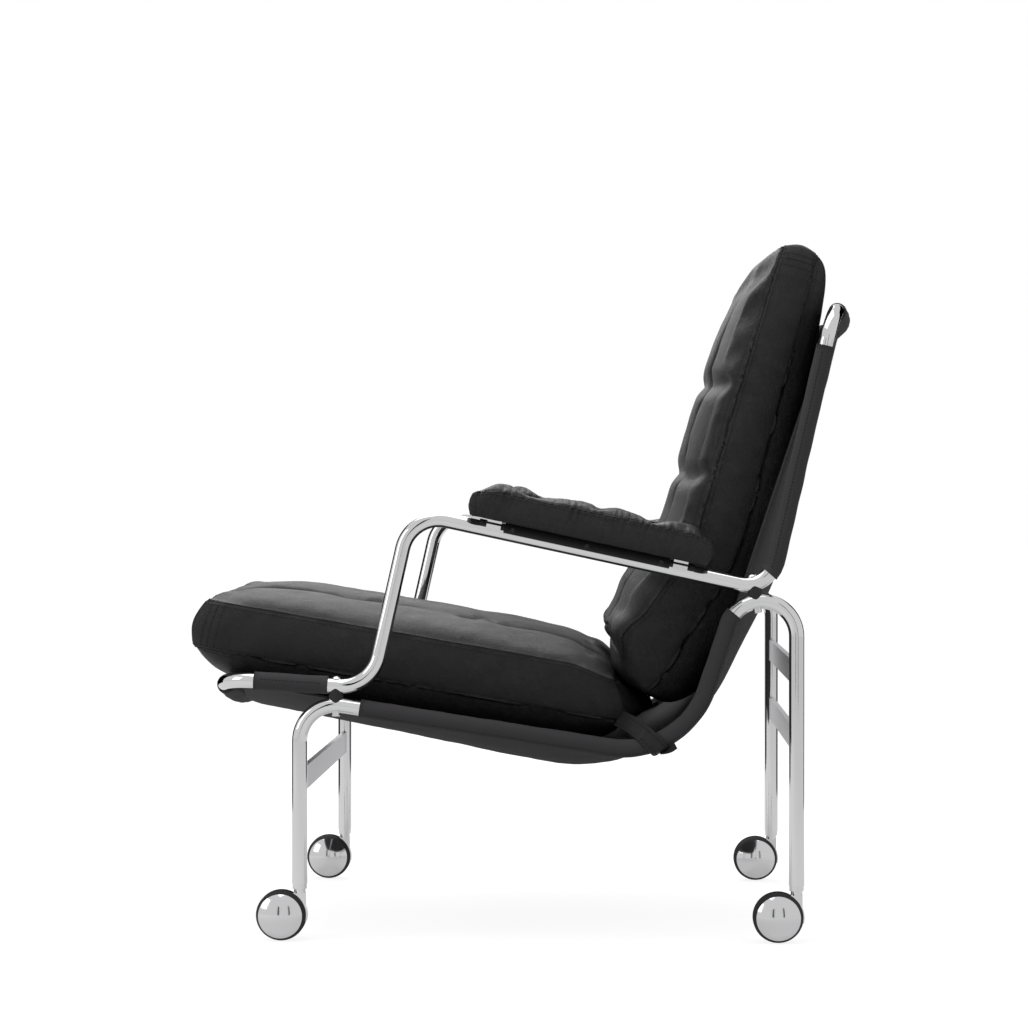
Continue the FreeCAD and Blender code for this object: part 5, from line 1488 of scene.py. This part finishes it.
def smooth_line(rows, count):
    """Evenly spaced points of a smooth curve through rows of numbers."""
    rows = np.array(rows, float)
    padded = np.vstack([2 * rows[0] - rows[1], rows, 2 * rows[-1] - rows[-2]])
    points = []
    for where in np.linspace(0, len(rows) - 1, count):
        start = min(int(where), len(rows) - 2)
        t = where - start
        a, b, c, d = padded[start : start + 4]
        square = (2 * a - 5 * b + 4 * c - d) * t**2
        cube = (3 * b - a - 3 * c + d) * t**3
        points.append(0.5 * (2 * b + (c - a) * t + square + cube))
    return np.array(points)


def band(rows, count, sign, width, thickness):
    """Vertices and faces of a leather band along a line, and its rows of stitching."""
    laid = smooth_line(rows, count)
    centres = laid[:, :3] * [sign, 1, 1] + [sign * TRACK, 0, 0]
    wide = np.column_stack([np.zeros(count), laid[:, 3:]])
    ahead = np.gradient(centres, axis=0)
    ahead /= np.linalg.norm(ahead, axis=1, keepdims=True)
    wide -= ahead * np.sum(wide * ahead, axis=1, keepdims=True)
    wide /= np.linalg.norm(wide, axis=1, keepdims=True)
    out = np.cross(wide, ahead) * -sign
    vertices = []
    for centre, across, outward in zip(centres, wide, out):
        for share, rise in BAND_SECTION:
            vertices.append(centre + across * share * width / 2 + outward * rise * thickness / 2)
    index = np.arange(len(vertices)).reshape(count, len(BAND_SECTION))
    faces = grid_faces(index, closed_columns=True, flip=sign < 0)
    ends = end_caps(index)
    faces += ends if sign > 0 else [end[::-1] for end in ends]
    spots = np.array(vertices).reshape(count, len(BAND_SECTION), 3)
    return vertices, faces, [spots[:, 4], spots[:, 6]]


class CHAIR_OT_straps(bpy.types.Operator):
    """Make the leather straps at the seat cushion's rear corners"""

    bl_idname = "chair.straps"
    bl_label = "Seat Straps"

    def execute(self, context):
        for side_name, sign in SIDES:
            vertices, faces, rows = band(STRAP_LINE, 46, sign, 0.024, 0.0022)
            more, more_faces, _ = band(STRAP_TAIL, 12, sign, 0.011, 0.0020)
            faces += [[number + len(vertices) for number in face] for face in more_faces]
            name = f"seat_strap_{side_name}_leather"
            piece = new_object(name, vertices + more, faces, surface("black_leather"))
            apply_modifier(piece, "SUBSURF", levels=1)
            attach(piece, "root")
            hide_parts(f"seat_strap_{side_name}")
            stitches(name, piece, rows)
        return {"FINISHED"}


# Studio: pale floor, soft lights, camera

# Name, place, target, width, height and power
LAMPS = (
    ("top_light", (0.2, -0.3, 2.6), (0.0, 0.0, 0.4), 2.0, 2.0, 15),
    ("back_light", (-2.2, -0.5, 2.3), (0.0, 0.0, 0.5), 1.6, 2.4, 24),
    ("front_light", (1.4, -2.8, 1.6), (0.0, 0.0, 0.5), 1.2, 1.6, 9),
)
# Black cards that only reflections see: name, place, target, width and height
CARDS = (
    ("left_card", (-0.95, -1.40, 0.6), (0.0, 0.0, 0.6), 1.5, 2.4),
    ("right_card", (-1.10, 1.35, 0.6), (0.0, 0.0, 0.6), 1.3, 2.4),
    ("slit_card", (5.2, -1.1, 0.9), (0.0, 0.0, 0.9), 0.5, 3.6),
    ("second_slit_card", (4.6, 1.9, 0.9), (0.0, 0.0, 0.9), 0.4, 3.6),
)
SQUARE = ((-1, -1), (1, -1), (1, 1), (-1, 1))
FLOOR_SIZE = 30.0
CAMERA_PLACE = (4.171, 0.120, 0.574)
CAMERA_HEADING = (-1.0, -0.0352, -0.0044)
LENS = 103.5


class CHAIR_OT_studio(bpy.types.Operator):
    """Set up the floor, the lights and the camera"""

    bl_idname = "chair.studio"
    bl_label = "Studio"

    def execute(self, context):
        scene = context.scene
        scene.view_settings.view_transform = "Standard"
        self.lay_floor(scene.chair_finish.floor)
        self.light_world(scene)
        for lamp in LAMPS:
            self.hang_light(*lamp)
        for card in CARDS:
            self.hang_card(*card)
        self.set_camera(scene)
        return {"FINISHED"}

    def lay_floor(self, colour):
        made = Surface("studio_floor")
        cloud = made.noise(made.places(), 1.5, 2.0)
        tint = made.blended(cloud, shade(colour, 0.49), shade(colour, 0.51))
        made.set(Base_Color=tint, Roughness=0.9, Specular_IOR_Level=0.1)
        paths = made.node("LightPath")
        seen = made.math("MULTIPLY", paths.outputs["Is Camera Ray"], 0.84)
        mirrored = made.math("MULTIPLY", paths.outputs["Is Glossy Ray"], 0.38)
        glow = made.math("ADD", seen, mirrored)
        made.set(Emission_Color=(1.0, 1.0, 1.0, 1.0), Emission_Strength=glow)
        spots = [(x * FLOOR_SIZE, y * FLOOR_SIZE, 0.0) for x, y in SQUARE]
        floor = new_object("studio_floor", spots, [(0, 1, 2, 3)], made.material, smooth=False)

    def light_world(self, scene):
        world = bpy.data.worlds.new("studio")
        world.use_nodes = True
        scene.world = world
        tree = world.node_tree
        background = tree.nodes["Background"]
        background.inputs["Color"].default_value = (1.0, 1.0, 1.0, 1.0)
        paths = tree.nodes.new("ShaderNodeLightPath")
        strength = tree.nodes.new("ShaderNodeMath")
        strength.operation = "MULTIPLY_ADD"
        strength.inputs[1].default_value = 0.6
        mirrored = tree.nodes.new("ShaderNodeMath")
        mirrored.operation = "MULTIPLY_ADD"
        mirrored.inputs[1].default_value = 0.25
        mirrored.inputs[2].default_value = 0.4
        tree.links.new(paths.outputs["Is Glossy Ray"], mirrored.inputs[0])
        tree.links.new(paths.outputs["Is Camera Ray"], strength.inputs[0])
        tree.links.new(mirrored.outputs[0], strength.inputs[2])
        tree.links.new(strength.outputs[0], background.inputs["Strength"])

    def aim(self, thing, target):
        away = thing.location - Vector(target)
        thing.rotation_euler = away.to_track_quat("Z", "Y").to_euler()

    def hang_light(self, name, spot, target, width, height, power):
        lamp = bpy.data.lights.new(name, "AREA")
        lamp.shape = "RECTANGLE"
        lamp.size = width
        lamp.size_y = height
        lamp.energy = power
        thing = bpy.data.objects.new(name, lamp)
        thing.location = spot
        self.aim(thing, target)
        bpy.context.scene.collection.objects.link(thing)

    def hang_card(self, name, spot, target, width, height):
        """A black card off camera that only reflections see, for dark edges in the chrome."""
        made = Surface(name)
        made.set(Base_Color=(0.0, 0.0, 0.0, 1.0), Roughness=1.0, Specular_IOR_Level=0.0)
        spots = [(x * width / 2, y * height / 2, 0.0) for x, y in SQUARE]
        card = new_object(name, spots, [(0, 1, 2, 3)], made.material, smooth=False)
        card.location = spot
        self.aim(card, target)
        card.visible_camera = False
        card.visible_diffuse = False
        card.visible_shadow = False

    def set_camera(self, scene):
        lens = bpy.data.cameras.new("photo_view")
        lens.sensor_width = 36.0
        lens.lens = LENS
        lens.clip_start = 0.05
        lens.clip_end = 100.0
        view = bpy.data.objects.new("photo_view", lens)
        view.location = CAMERA_PLACE
        view.rotation_euler = Vector(CAMERA_HEADING).to_track_quat("-Z", "Y").to_euler()
        scene.collection.objects.link(view)
        scene.camera = view


OPERATORS = (
    CHAIR_OT_frame,
    CHAIR_OT_seat,
    CHAIR_OT_back,
    CHAIR_OT_arms,
    CHAIR_OT_sling,
    CHAIR_OT_straps,
    CHAIR_OT_studio,
)


class CHAIR_PT_panel(bpy.types.Panel):
    """Sizes, finishes and the steps that make the chair"""

    bl_idname = "CHAIR_PT_panel"
    bl_label = "Lounge Chair"
    bl_space_type = "VIEW_3D"
    bl_region_type = "UI"
    bl_category = "Lounge Chair"

    def draw(self, context):
        layout = self.layout
        for name, _ in GROUPS:
            box = layout.box()
            group = getattr(context.scene, name)
            for key in group.bl_rna.properties.keys():
                if key not in ("rna_type", "name"):
                    box.prop(group, key)
        for operator in OPERATORS:
            layout.operator(operator.bl_idname)


def register():
    for name, group in GROUPS:
        bpy.utils.register_class(group)
        setattr(bpy.types.Scene, name, PointerProperty(type=group))
    for operator in OPERATORS:
        bpy.utils.register_class(operator)
    bpy.utils.register_class(CHAIR_PT_panel)


def unregister():
    bpy.utils.unregister_class(CHAIR_PT_panel)
    for operator in reversed(OPERATORS):
        bpy.utils.unregister_class(operator)
    for name, group in reversed(GROUPS):
        delattr(bpy.types.Scene, name)
        bpy.utils.unregister_class(group)


def main():
    register()
    bpy.ops.chair.frame()
    bpy.ops.chair.seat()
    bpy.ops.chair.back()
    bpy.ops.chair.arms()
    bpy.ops.chair.sling()
    bpy.ops.chair.straps()
    bpy.ops.chair.studio()


if __name__ == "__main__":
    main()
